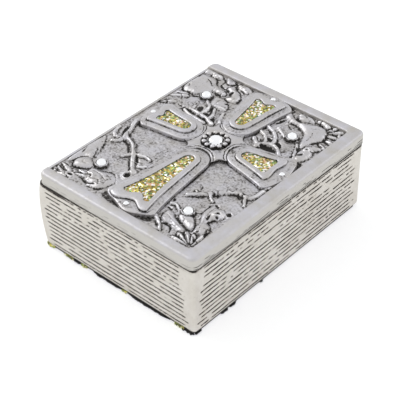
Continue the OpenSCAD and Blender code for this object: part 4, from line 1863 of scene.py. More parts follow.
@dataclass
class CrossRelief:
    """The metal of the cross: four stepped arms, the hub, the bead ring and the cups.

    Attributes:
        cross: where it lies.
        arms: its arms.
        corners: the middles of the corner crystals.
        hub_reach: how far the hub's four ends reach out.
        fall_from, fall_over: how far out they begin to fall, and over what width.
        end_fall, end_hollow: how far those ends fall and how far they are hollowed.
    """

    cross: Cross
    arms: Sequence[Arm]
    corners: dict[str, Point]
    hub_reach: float = 10.7
    fall_from: float = 6.4
    fall_over: float = 4.4
    end_fall: float = 0.65
    end_hollow: float = 1.3

    def arm_piece(self, arm: Arm) -> Object:
        """Builds an arm's two steps and its pocket.

        Args:
            arm: the arm.

        Returns:
            The piece.
        """
        c = self.cross
        outer = arm.outer(c)
        ledge_end = arm.reach + c.crystal_d / 2 + c.cup_wall - arm.bulge / 2
        frame_end = outer + c.frame_w
        wide = c.frame_w + c.step_w
        grain = Grain(Seed.ARMS)
        crevice = Grain(Seed.CREVICES)

        def level(grow: float, end: float, z: float, dark: float, notch: float,
                corner: float) -> Ring:
            """Draws one ring of the arm, a little uneven, as cast."""
            flat = c.place(arm.outline(c, grow, end, notch, corner), arm.turn)
            uneven = 0.06 * grain.layered(flat[:, 0], flat[:, 1], 4, 2)
            patchy = 0.75 + 0.9 * grain.layered(flat[:, 0] + 50, flat[:, 1], 5, 3)
            smudge = 0.35 * np.clip(crevice.layered(flat[:, 0], flat[:, 1], 3, 3), -0.1, 1)
            patina_and_shade = dark * np.clip(patchy, 0.2, 1.1) + smudge
            return Ring(np.column_stack([flat, z + uneven]), patina_and_shade)

        rings = []
        step, frame = (-arm.bulge, 2 * c.end_round), (arm.nook, c.end_round)
        # The dark at the feet and top edges of the walls is patina and painted shade together
        # From the foot up: how far outside, how far below the step's height, how dark
        side = ((0.1, 1.9, 1.0), (0.1, 1.45, 0.9), (0.08, 1.1, 0.35), (0.04, 0.6, 0.12))
        side += ((0, 0.3, 0.0),)
        for grow, drop, dark in side:
            rings.append(level(wide + grow, ledge_end + grow, c.step_z - drop, dark, *step))
        ledge = ((0.15, 0.14, 0.05), (0.4, 0.04, 0.12), (0.9, -0.04, 0.2), (1.5, -0.14, 0.3))
        for back, drop, dark in ledge:
            rings.append(level(wide - back, ledge_end - back, c.step_z - drop, dark, *step))
        lobed = frame_end + arm.lobe
        for grow, drop, dark in ((0.3, -0.3, 0.1), (0.14, -0.28, 0.8), (0.03, -0.3, 1.0)):
            rings.append(level(c.frame_w + grow, lobed + grow, c.step_z - drop, dark, *frame))
        # The pocket's own end differs from the frame's: the last value is its share in the ring
        pocket = (
            (0.0, 0.6, 0.75, 0.0),
            (0.06, 0.35, 0.15, 0.0),
            (0.22, 0.14, 0.0, 0.05),
            (0.5, 0.0, 0.0, 0.15),
            (1.15, -0.06, 0.0, 0.5),
            (1.75, 0.0, 0.0, 0.8),
            (2.05, 0.08, 0.0, 0.95),
            (2.2, 0.2, 0.3, 1.0),
            (2.3, 0.42, 0.8, 1.0),
            (2.3, 1.02, 1.0, 1.0),
        )
        for back, drop, dark, share in pocket:
            end = lobed - back - arm.lobe * share
            notch = arm.nook + (arm.notch - arm.nook) * share
            corner = c.end_round + (c.pocket_round - c.end_round) * share
            rings.append(level(c.frame_w - back, end, c.arm_z - drop, dark, notch, corner))
        return loft(f"cross_arm_{arm.name}", rings, 50)

    def cup(self, name: str, x: float, y: float, d: float, low: float, high: float) -> Object:
        """Turns the cup that holds a crystal.

        Args:
            name: the cup's name.
            x: its middle's X.
            y: its middle's Y.
            d: the crystal's diameter.
            low: height of its foot.
            high: height of its lip.

        Returns:
            The cup.
        """
        c = self.cross
        seat = d / 2 + c.seat_gap
        wall = c.cup_wall
        # The foot and the seat are dark with patina and painted shade round the crystal, the lip
        # clean
        shape = (
            (seat + wall + 0.25, low, 1.0),
            (seat + wall + 0.05, low + 0.4 * (high - low), 0.9),
            (seat + wall, high - 0.25, 0.85),
            (seat + 0.75 * wall, high - 0.05, 0.3),
            (seat + 0.4 * wall, high, 0.1),
            (seat + 0.1 * wall, high - 0.06, 0.7),
            (seat, high - 0.2, 1.0),
            (seat, high - c.seat * d - 0.01, 1.0),
        )
        rings = [ring(arc(x, y, r, 0, 352.5, 47), z, dark) for r, z, dark in shape]
        return loft(name, rings, 50)

    def hub_outline(self, inset: float) -> np.ndarray:
        """Draws the X between the arms.

        Args:
            inset: how far inside its edge the outline runs.

        Returns:
            The closed outline about the cross's centre.
        """
        c = self.cross
        hollow = c.half_in + c.frame_w + c.step_w + 0.1 + inset
        half = self.hub_reach - inset
        ends: list[list[Point]] = []
        for quarter, arm in enumerate(self.arms):
            t = math.radians(90 * quarter)
            centre = c.start + c.half_in - arm.inner
            swing = math.degrees(math.acos((centre - half) / hollow))
            run = arc(centre, 0, hollow, 180 + swing, 180 - swing, 20)
            cos_t, sin_t = math.cos(t), math.sin(t)
            ends.append([(x * cos_t - y * sin_t, x * sin_t + y * cos_t) for x, y in run])
        points: list[Point] = []
        for quarter in range(4):
            points += ends[quarter]
            (ax, ay), (bx, by) = ends[quarter][-1], ends[(quarter + 1) % 4][0]
            pull = self.end_hollow / math.hypot(ax + bx, ay + by)
            for k in (0.25, 0.5, 0.75):
                near = 1 - pull * 8 * k * (1 - k)
                points.append(((ax + (bx - ax) * k) * near, (ay + (by - ay) * k) * near))
        return np.array(points)

    def hub(self) -> Object:
        """Builds the hub with the ring sunk into it for the beads.

        Returns:
            The piece.
        """
        c = self.cross
        rings = []
        # Only the four arcs along the arms have a line, a small groove dark with patina and painted
        # shade, and not the ends between them
        on_arc = np.array(([1.0] * 21 + [0.0] * 3) * 4)
        # From the foot up and inwards: how far in, how far below the hub's height, how dark; the
        # foot is dark with patina and painted shade, and the ring below zero is a painted highlight
        shape = ((-0.3, 2.4, 1.0), (-0.15, 1.3, 1.0), (0.0, 0.6, 1.0), (0.16, 0.22, 0.5))
        shape += ((0.4, 0.0, -0.25),)
        shape += ((0.75, 0.03, 0.15), (1.02, 0.28, 1.0), (1.25, 0.12, 0.5), (1.6, 0.0, -0.05))
        for inset, drop, dark in shape:
            flat = self.hub_outline(inset)
            # Its four ends fall away to the panel
            out = np.hypot(flat[:, 0], flat[:, 1])
            fall = self.end_fall * smooth_step((out - self.fall_from) / self.fall_over)
            line = inset > 0.6
            z = c.hub_z - drop * (on_arc if line else 1.0) - fall
            low = c.sizes.panel_z - 0.4
            rings.append(ring(c.place(flat), np.maximum(z, low), dark * (on_arc if line else 1.0)))
        well = c.centre_d / 2 + c.cup_wall + c.bead_d - 0.25
        edge = self.hub_outline(1.6)
        angles = np.arctan2(edge[:, 1], edge[:, 0])
        # The well round the beads is dark with patina and painted shade
        levels = ((well + 0.35, 0.02, 0.1), (well + 0.1, 0.12, 0.6), (well - 0.1, 0.45, 1.0))
        levels += ((3.0, 0.65, 1.0),)
        for r, drop, dark in levels:
            circle = np.column_stack([r * np.cos(angles), r * np.sin(angles)])
            rings.append(ring(c.place(circle), c.hub_z - drop, dark))
        return loft("cross_hub", rings, 45)

    def bead_ring(self) -> Object:
        """Sets the beads round the centre crystal's cup.

        Returns:
            The beads as one casting.
        """
        c = self.cross
        cup_r = c.centre_d / 2 + c.cup_wall
        radius = cup_r + c.bead_d / 2 - c.bead_sink
        z = c.hub_z - c.ring_depth + c.bead_d / 2 - c.bead_sink
        deselect()
        bpy.ops.mesh.primitive_uv_sphere_add(segments=24, ring_count=16, radius=c.bead_d / 2 * MM)
        first = bpy.context.object
        modify(first, "CAST", factor=0.12, cast_type="CUBOID", size=c.bead_d / 2 * MM)
        beads = []
        for i in range(c.beads):
            a = 2 * math.pi * i / c.beads
            spot = c.place(np.array([[radius * math.cos(a), radius * math.sin(a)]]))[0]
            bead = bpy.data.objects.new("bead", first.data.copy())
            bpy.context.scene.collection.objects.link(bead)
            scale = c.bead_d / 2 * MM / max(v.co.z for v in first.data.vertices)
            moved = Matrix.Translation((spot[0] * MM, spot[1] * MM, z * MM))
            bead.data.transform(moved @ Matrix.Diagonal((0.97, 0.97, scale, 1)))
            heights = np.array([v.co.z / MM for v in bead.data.vertices])
            # Each bead is painted black with patina and painted shade, with a painted highlight
            # over its top
            paint(bead, 1.0 - 1.3 * smooth_step((heights - z - 0.35) / 0.65))
            beads.append(bead)
        bpy.data.objects.remove(first)
        return finish_mesh(join("bead_ring", beads), 60)

    def build(self, paints: Paintbox) -> None:
        """Builds and dresses the metal of the cross and every cup.

        Args:
            paints: the finishes.
        """
        c = self.cross
        panel = c.sizes.panel_z
        for arm in self.arms:
            paints.dress(self.arm_piece(arm), Slot.METAL, Body.COVER)
            x, y = c.place(np.array([[arm.reach, 0.0]]), arm.turn)[0]
            cup = self.cup(f"cup_arm_{arm.name}", x, y, c.crystal_d, c.step_z - 0.5,
                c.step_z + 0.08)
            paints.dress(cup, Slot.METAL, Body.COVER)
        paints.dress(self.hub(), Slot.METAL, Body.COVER)
        paints.dress(self.bead_ring(), Slot.METAL, Body.COVER)
        ring_z = c.hub_z - c.ring_depth
        centre = self.cup("cup_centre", c.x, c.y, c.centre_d, ring_z, c.hub_z + c.centre_cup_h)
        paints.dress(centre, Slot.METAL, Body.COVER)
        for name, (x, y) in self.corners.items():
            cup = self.cup(f"cup_{name}", x, y, c.corner_d, panel - 0.3, panel + c.corner_cup_h)
            paints.dress(cup, Slot.METAL, Body.COVER)


# The vines and leaves of the panel


@dataclass(frozen=True)
class Leaf:
    """A domed leaf.

    Attributes:
        outline: points round it.
        height: how high it stands.
        soft: how far in from its edge it reaches that height.
        veins: grooves pressed into it.
    """

    outline: Path
    height: float = 1.2
    soft: float = 1.0
    veins: Sequence[Path] = ()


@dataclass(frozen=True)
class Stem:
    """A round twig that tapers.

    Attributes:
        points: its middle line.
        start_r: radius at its root.
        stop_r: radius at its tip.
        height: how high its back stands.
    """

    points: Path
    start_r: float = 1.0
    stop_r: float = 0.5
    height: float = 1.15


@dataclass(frozen=True)
class Groove:
    """A pressed line, dark with patina.

    Attributes:
        points: its middle line.
        width: half its width.
        depth: its depth.
        dark: how black it is.
    """

    points: Path
    width: float = 0.35
    depth: float = 0.4
    dark: float = 0.8


@dataclass(frozen=True)
class Ridge:
    """A fold that stands up, with a painted highlight along it.

    Attributes:
        points: its middle line.
        width: half its width.
        height: how far it stands over what is under it.
    """

    points: Path
    width: float = 0.5
    height: float = 0.4


@dataclass(frozen=True)
class Pit:
    """A hollow left black.

    Attributes:
        x: its middle's X.
        y: its middle's Y.
        rx: half its length.
        ry: half its width.
        turn: turn of its length, in degrees.
        depth: how far it is sunk.
        lip: height of the ring of metal round it.
    """

    x: float
    y: float
    rx: float
    ry: float
    turn: float = 0.0
    depth: float = 0.6
    lip: float = 0.0


Shape = Union[Leaf, Stem, Groove, Ridge, Pit]


def petal(x: float, y: float, turn: float, length: float, half: float, height: float = 1.1) -> Leaf:
    """Draws a small drop-shaped leaf.

    Args:
        x: its root's X.
        y: its root's Y.
        turn: where it points, in degrees.
        length: its length.
        half: half its greatest width.
        height: how high it stands.

    Returns:
        The leaf.
    """
    drop = ((0, 0), (0.35, 0.6), (0.68, 1), (0.93, 0.6), (1, 0), (0.93, -0.6), (0.68, -1),
        (0.35, -0.6))
    c, s = math.cos(math.radians(turn)), math.sin(math.radians(turn))
    points = [
        (x + u * length * c - v * half * s, y + u * length * s + v * half * c) for u, v in drop
    ]
    return Leaf(points, height, 0.9 * half)


def front_left_corner() -> list[Shape]:
    """Lists the relief between the foot and the left arm.

    Returns:
        The shapes, in the order in which they lie on each other.
    """
    return [
        Leaf(((-36.6, -17), (-34, -18.5), (-32.4, -21.5), (-31, -25), (-29.6, -28.3),
            (-30.8, -30.2), (-33.4, -31), (-34.2, -34), (-36.6, -34.5)), 1.0, 1.6),
        Leaf(((-30.8, -29.6), (-33.2, -31.8), (-33.7, -34.6), (-32.4, -36.6), (-30.6, -36.7),
            (-28.6, -35.8), (-26.4, -34.4), (-25, -33.2), (-26.6, -31.6), (-28.6, -30.6)), 1.3,
            1.3),
        Leaf(((-25.4, -33.6), (-21, -32.6), (-17, -31.4), (-14.2, -32.6), (-13.2, -35),
            (-13.8, -38.4), (-15.8, -41.2), (-19.4, -41.6), (-22.6, -40.6), (-23.8, -38.6),
            (-25, -36.8)), 1.2, 1.6, (((-24, -35), (-20, -35), (-16, -36.4)), ((-21, -38.8),
            (-18.4, -37.8), (-16.6, -39.6)))),
        petal(-36.6, -38.2, -14, 6.6, 1.0, 0.8),
        petal(-36.6, -40.4, -26, 6.6, 1.0, 0.9),
        petal(-36.4, -42.8, -4, 7.0, 0.8, 0.7),
        petal(-28.8, -37.2, -16, 5.4, 1.1, 0.8),
        petal(-28.4, -39.6, 8, 5.4, 0.8, 0.7),
        Stem(((-34, 1.2), (-33.6, -3), (-32, -6.6), (-30.8, -10), (-29.6, -12.4)), 1.0, 1.15),
        Stem(((-36.6, -8), (-35.6, -11.6), (-33.2, -13.6), (-30, -13)), 0.7, 0.9, 0.9),
        Stem(((-29.8, -11.6), (-27, -12), (-24.4, -13.2), (-22, -15.4), (-19.8, -17.8)), 1.15, 1.0),
        Stem(((-29.8, -12.4), (-30.2, -14.8), (-32.2, -16.6)), 0.95, 0.7, 1.1),
        Stem(((-19.8, -17.6), (-17, -16.8), (-14.6, -16), (-12.6, -16.6)), 0.85, 0.5, 1.0),
        Stem(((-20, -17.8), (-21.2, -19.6), (-22.4, -21.4)), 0.85, 0.45, 1.0),
        Stem(((-19.6, -17.8), (-17.4, -20.8), (-14.8, -23.6), (-12, -26)), 1.0, 0.9, 1.1),
        Stem(((-14.4, -20.2), (-13.6, -21.8), (-12, -21.6), (-11.2, -20.2)), 0.55, 0.45, 0.8),
        Leaf(((-14, -24.4), (-11.6, -24.2), (-10.4, -26), (-11.4, -27.2), (-13.6, -26.4)), 1.1,
            0.7),
        Ridge(((-16, -30.4), (-13.8, -32.2), (-12.2, -34.4)), 0.5, 0.6),
        Ridge(((-26.6, -37.2), (-24.4, -36.6)), 0.5, 0.4),
        Ridge(((-23.6, -37.4), (-22, -36.8), (-20.8, -38)), 0.4, 0.4),
        Ridge(((-19.6, -39.4), (-18.2, -39)), 0.6, 0.5),
        Groove(((-30.8, -9), (-28.4, -11), (-25.6, -12), (-22.8, -13.8), (-20.4, -16),
            (-16.6, -15.8)), 0.5, 0.3, 0.8),
        Groove(((-29.4, -13.6), (-26.8, -14.2), (-24.4, -15.6), (-22.4, -18)), 0.7, 0.25, 0.7),
        Groove(((-18.2, -17.6), (-16.4, -19.4), (-14.2, -20)), 0.5, 0.5, 1.0),
        Groove(((-19.4, -20.4), (-17, -23), (-15, -24.8)), 0.35, 0.3, 0.7),
        Groove(((-32.2, -24), (-31, -26.4), (-29.8, -28.6)), 0.4, 0.4, 0.7),
        Groove(((-31.2, -29.8), (-33.5, -32), (-34, -34.6), (-32.7, -36.8), (-30.4, -37),
            (-27.8, -35.8), (-25.4, -33.8)), 0.3, 0.35, 0.8),
        Groove(((-26.6, -31.4), (-24.8, -32.4)), 0.45, 0.5, 1.0),
        Groove(((-28.2, -38), (-26.6, -38.3), (-24.6, -38.2)), 0.45, 0.5, 1.0),
        Groove(((-23.6, -37.6), (-22.2, -37.6), (-21.6, -38.8)), 0.35, 0.4, 0.7),
        Groove(((-25.4, -39.4), (-23, -40.6), (-20.4, -41), (-17.6, -40.2)), 0.35, 0.4, 0.8),
        Groove(((-36, -25.6), (-35.2, -28), (-34.6, -29.6)), 0.35, 0.35, 0.7),
        Groove(((-35.6, -41.6), (-34.4, -42.8), (-32.4, -42.6)), 0.4, 0.4, 0.7),
        Pit(-32.9, -8.2, 3.0, 1.1, -70, 0.7),
        Pit(-12.9, -28.4, 1.4, 1.1, -40, 0.7, 0.7),
        Pit(-29.3, -41.2, 1.2, 0.7, 0, 0.6, 0.4),
        Pit(-22.8, -20.9, 1.1, 0.5, 30, 0.3),
        Pit(-14.4, -15.8, 1.0, 0.4, -20, 0.3),
    ]


def front_right_corner() -> list[Shape]:
    """Lists the relief between the foot and the right arm.

    Returns:
        The shapes, in the order in which they lie on each other.
    """
    return [
        Leaf(((23, -20.8), (25, -21.6), (27.4, -20.8), (29.2, -22.4), (29.6, -25), (27.8, -27.4),
            (27.2, -29.8), (29.4, -30.8), (30.8, -33.6), (29.4, -36.2), (27, -37), (25.6, -34.4),
            (25, -31.4), (23.2, -28.4), (22.2, -25.6), (22.4, -22.8)), 1.2, 1.3, (((24.6, -22.6),
            (24.8, -26), (26, -30), (27.6, -34.6)),)),
        Leaf(((19.4, -31.4), (22, -30.8), (24.2, -32.6), (25.4, -35), (24.4, -36.4), (21.6, -35.6),
            (18.6, -34.6), (17, -33), (17.8, -31.8)), 1.3, 1.2),
        Leaf(((12, -33.4), (14.4, -33), (16.6, -34.6), (20.4, -36.2), (23.8, -37.4), (26, -38.4),
            (24.6, -40), (21, -39.4), (17.4, -38.4), (14.6, -38.8), (12.6, -37.2)), 1.15, 1.3,
            (((14, -35.6), (18, -36.8), (22, -38)),)),
        petal(29.8, -42.8, 180, 7.6, 0.85, 0.9),
        petal(29.6, -42.4, 161, 7.4, 0.95),
        petal(29.8, -42.0, 139, 6.4, 1.0, 1.25),
        petal(30.2, -41.8, 116, 6.0, 0.95),
        petal(31.0, -42.0, 93, 7.0, 0.85, 0.9),
        petal(28.2, -37.4, 70, 4.2, 0.7),
        petal(22.4, -39.4, 170, 4.0, 0.7),
        Stem(((31, 0), (30.8, -4), (30.6, -8), (29, -10.2), (26, -10.4), (23.4, -10.6)), 0.8, 1.0),
        Stem(((28.4, -9.8), (24.4, -10.4), (20.8, -13.2), (17.2, -17), (14.2, -20), (11.4, -22.4)),
            1.0, 0.9, 1.2),
        Stem(((17.4, -17), (19.2, -18.6), (21, -19.6)), 0.75, 0.45, 1.0),
        Stem(((28, -10.4), (29.6, -12.6), (30.8, -14.4)), 0.7, 0.45, 0.9),
        Stem(((12.2, -18.6), (14.2, -19.6)), 0.5, 0.4, 0.8),
        Stem(((10.4, -29.8), (12.6, -29.2), (15, -30.6), (16.6, -30)), 0.6, 0.45, 0.9),
        Stem(((10.6, -38.2), (13.4, -39.8), (16.8, -42.8)), 0.9, 0.6, 0.9),
        Ridge(((29.6, -31.4), (30.6, -33.4)), 0.45, 0.6),
        Ridge(((14.2, -38.2), (15.6, -38.8)), 0.7, 0.6),
        Ridge(((22.4, -27.6), (23.2, -29.4)), 0.4, 0.4),
        Ridge(((26.2, -39.2), (28.2, -40.9)), 0.3, 0.35),
        Ridge(((28.2, -38.2), (29.2, -40.2)), 0.3, 0.35),
        Groove(((21.4, -21), (22.2, -24), (22, -26.4), (20.8, -27.6)), 0.45, 0.35, 0.7),
        Groove(((19.4, -30.2), (22.4, -31.2), (24.6, -33.2), (25.9, -35.2), (24.8, -36.8),
            (21.4, -35.9)), 0.28, 0.35, 0.6),
        Groove(((15, -39.4), (16.8, -39), (18.8, -39.4), (20.2, -41.6)), 0.4, 0.5, 0.9),
        Groove(((27.2, -36.8), (29, -37.2)), 0.4, 0.5, 0.9),
        Groove(((28.6, -38.6), (30, -39.9), (31.4, -39.6)), 0.4, 0.5, 1.0),
        Groove(((30, -31.4), (30.4, -34), (31.2, -36)), 0.6, 0.4, 0.8),
        Groove(((10.4, -31.6), (12.6, -31.8)), 0.5, 0.4, 0.8),
        Groove(((13.4, -40.8), (15.4, -42)), 0.4, 0.4, 0.7),
        Groove(((19, -14.6), (20.6, -16.6)), 0.6, 0.3, 0.8),
        Groove(((12.4, -15.4), (14, -18.6)), 0.5, 0.2, 0.4),
        Groove(((24.2, -40.8), (25.2, -42.2)), 0.35, 0.4, 0.8),
        Pit(27.0, -9.4, 1.1, 0.7, 0, 0.6),
        Pit(22.6, -10.9, 1.0, 0.8, 30, 0.6),
        Pit(21.2, -12.3, 0.6, 0.5, 0, 0.5),
        Pit(16.0, -17.8, 0.8, 0.6, 40, 0.6),
        Pit(18.9, -16.3, 1.2, 0.5, -50, 0.5),
        Pit(23.4, -20.4, 1.1, 0.8, 0, 0.5),
        Pit(27.3, -24.4, 0.9, 0.7, 60, 0.7, 0.3),
        Pit(28.2, -25.8, 0.7, 0.5, 20, 0.7, 0.3),
        Pit(26.0, -27.8, 1.7, 0.6, -75, 0.6),
        Pit(30.0, -21.3, 1.1, 0.9, -40, 0.6, 0.3),
        Pit(9.6, -27.2, 1.1, 0.6, -60, 0.6),
        Pit(27.0, -41.0, 0.6, 0.5, 0, 0.5),
        Pit(26.0, -11.4, 1.6, 0.5, -45, 0.25),
    ]


def back_left_corner() -> list[Shape]:
    """Lists the relief between the head and the left arm.

    Returns:
        The shapes, in the order in which they lie on each other.
    """
    return [
        Leaf(((-26.8, 30.4), (-28.6, 27.8), (-31, 26.2), (-34.6, 26.4), (-36.6, 29.6), (-36.6, 38),
            (-34, 40.2), (-29.4, 40.2), (-26.8, 37.2), (-23.4, 36.4), (-20.2, 35.4), (-19.6, 33.8),
            (-22.4, 33.4), (-25, 32.8)), 1.3, 2.0),
        Leaf(((-36.6, 41.2), (-33.8, 42), (-32, 41.4), (-28.4, 42), (-29.2, 44), (-36.6, 44.2)),
            0.9, 1.0),
        Leaf(((-22, 38.4), (-20.4, 41), (-18, 39.2), (-15.4, 38), (-13.2, 36), (-13, 32.6),
            (-15.4, 31.6), (-18, 32.4), (-17, 34.6), (-18.6, 36.4)), 1.1, 1.3),
        Leaf(((-21.4, 30.8), (-17.6, 31.2), (-14.4, 29.8), (-12.6, 27), (-13.4, 25.2), (-17, 24.8),
            (-20.4, 26)), 0.9, 1.5),
        Leaf(((-26.6, 43.4), (-24, 41), (-21.8, 42), (-22.4, 44.2), (-26, 44.4)), 0.9, 0.8),
        Leaf(((-19.8, 42.4), (-16.8, 41.2), (-13.6, 40.4), (-12.6, 42.6), (-15, 44.2),
            (-19.2, 44.4)), 0.8, 0.9),
        petal(-36.4, 20.2, 36, 7.6, 1.0, 0.9),
        petal(-36.4, 23.6, 20, 5.6, 0.8, 0.8),
        petal(-36.4, 14.4, 42, 6.6, 1.0, 0.8),
        Stem(((-26.6, 17.4), (-22.4, 18), (-18.2, 17.6), (-14, 17), (-10.6, 15.6)), 0.75, 0.95,
            1.15),
        Stem(((-25.2, 16.4), (-22, 15.2), (-17.6, 14.8), (-13.6, 14.4)), 0.6, 0.8, 0.9),
        Stem(((-21.8, 26), (-19, 24.2), (-18.2, 21), (-18.2, 18)), 0.7, 0.8, 1.15),
        Stem(((-17.4, 25.6), (-15.4, 22.6), (-14.2, 20.2), (-13.8, 17.2)), 0.6, 0.7, 1.0),
        Stem(((-11.8, 24), (-10.6, 20.6), (-9, 18.4)), 0.6, 0.7, 0.8),
        Stem(((-24.8, 23.6), (-23.6, 20), (-23.6, 17.8)), 0.6, 0.6, 0.8),
        Ridge(((-18, 25), (-15.4, 25.8), (-12.8, 26)), 0.6, 0.5),
        Ridge(((-30.6, 28.2), (-29.6, 26.4)), 0.5, 0.4),
        Ridge(((-23.6, 33), (-22.4, 34), (-21.4, 33), (-20.2, 34)), 0.35, 0.3),
        Ridge(((-17.2, 38.9), (-15.6, 38.2)), 0.45, 0.4),
        Ridge(((-34.8, 31.8), (-34.2, 30.6)), 0.45, 0.3),
        Groove(((-33.2, 42.4), (-33.2, 40.9), (-31.2, 40.8), (-28.6, 41.2)), 0.4, 0.4, 0.8),
        Groove(((-28.6, 43.4), (-26.4, 42.4), (-25.8, 40.6), (-25.8, 39)), 0.4, 0.45, 0.8),
        Groove(((-26, 39.2), (-24.6, 38.2), (-22.6, 37.6)), 0.6, 0.6, 1.0),
        Groove(((-31.2, 37.3), (-29.2, 36.5), (-27, 34.8)), 0.35, 0.4, 0.9),
        Groove(((-20.2, 42), (-18.2, 40.2), (-16.2, 39.3), (-14.6, 38.8)), 0.35, 0.4, 0.8),
        Groove(((-23.6, 32.9), (-22.6, 32.3), (-21.4, 32.8), (-20.1, 32.4)), 0.4, 0.5, 0.9),
        Groove(((-30.2, 26.8), (-28.8, 25.8), (-27.4, 27.4), (-26.6, 28.4)), 0.4, 0.35, 0.6),
        Groove(((-30, 25.4), (-30, 22.8)), 0.3, 0.3, 0.6),
        Groove(((-23.4, 43.8), (-21.6, 43.4), (-19, 43.6), (-17.2, 43.7)), 0.3, 0.35, 0.7),
        Groove(((-13.6, 41.2), (-12.4, 40.9)), 0.4, 0.4, 0.7),
        Groove(((-10.4, 44.4), (-8.8, 43.8)), 0.4, 0.4, 0.9),
        Groove(((-35, 30.4), (-34.2, 29)), 0.4, 0.4, 0.9),
        Groove(((-22.6, 39.6), (-21.2, 38.6)), 0.35, 0.35, 0.7),
        Groove(((-30, 18), (-28, 17.6), (-26, 17.9)), 0.35, 0.3, 0.6),
        Groove(((-17.8, 25), (-16.4, 22.2), (-15.8, 20.4)), 0.35, 0.5, 0.9),
        Pit(-21.2, 21.0, 2.1, 1.2, -70, 0.8),
        Pit(-16.2, 19.4, 1.6, 1.2, 20, 0.8),
        Pit(-12.3, 18.2, 1.7, 0.9, -60, 0.8),
        Pit(-21.8, 16.8, 2.6, 0.5, -12, 0.5),
        Pit(-15.4, 16.2, 1.4, 0.6, 5, 0.5),
        Pit(-18.2, 36.4, 1.2, 0.9, 60, 0.7),
        Pit(-14.8, 29.6, 1.1, 0.8, 40, 0.5),
        Pit(-35.6, 26.6, 0.8, 0.6, 90, 0.5),
        Pit(-33.8, 15.4, 1.4, 0.5, -60, 0.5),
        Pit(-32.2, 22.6, 0.9, 0.4, -30, 0.5),
        Pit(-16.8, 24.6, 0.6, 0.5, 30, 0.5),
        Pit(-24.4, 22.2, 1.2, 0.4, 90, 0.4),
        Pit(-36, 37.6, 1.0, 0.5, 90, 0.4),
    ]


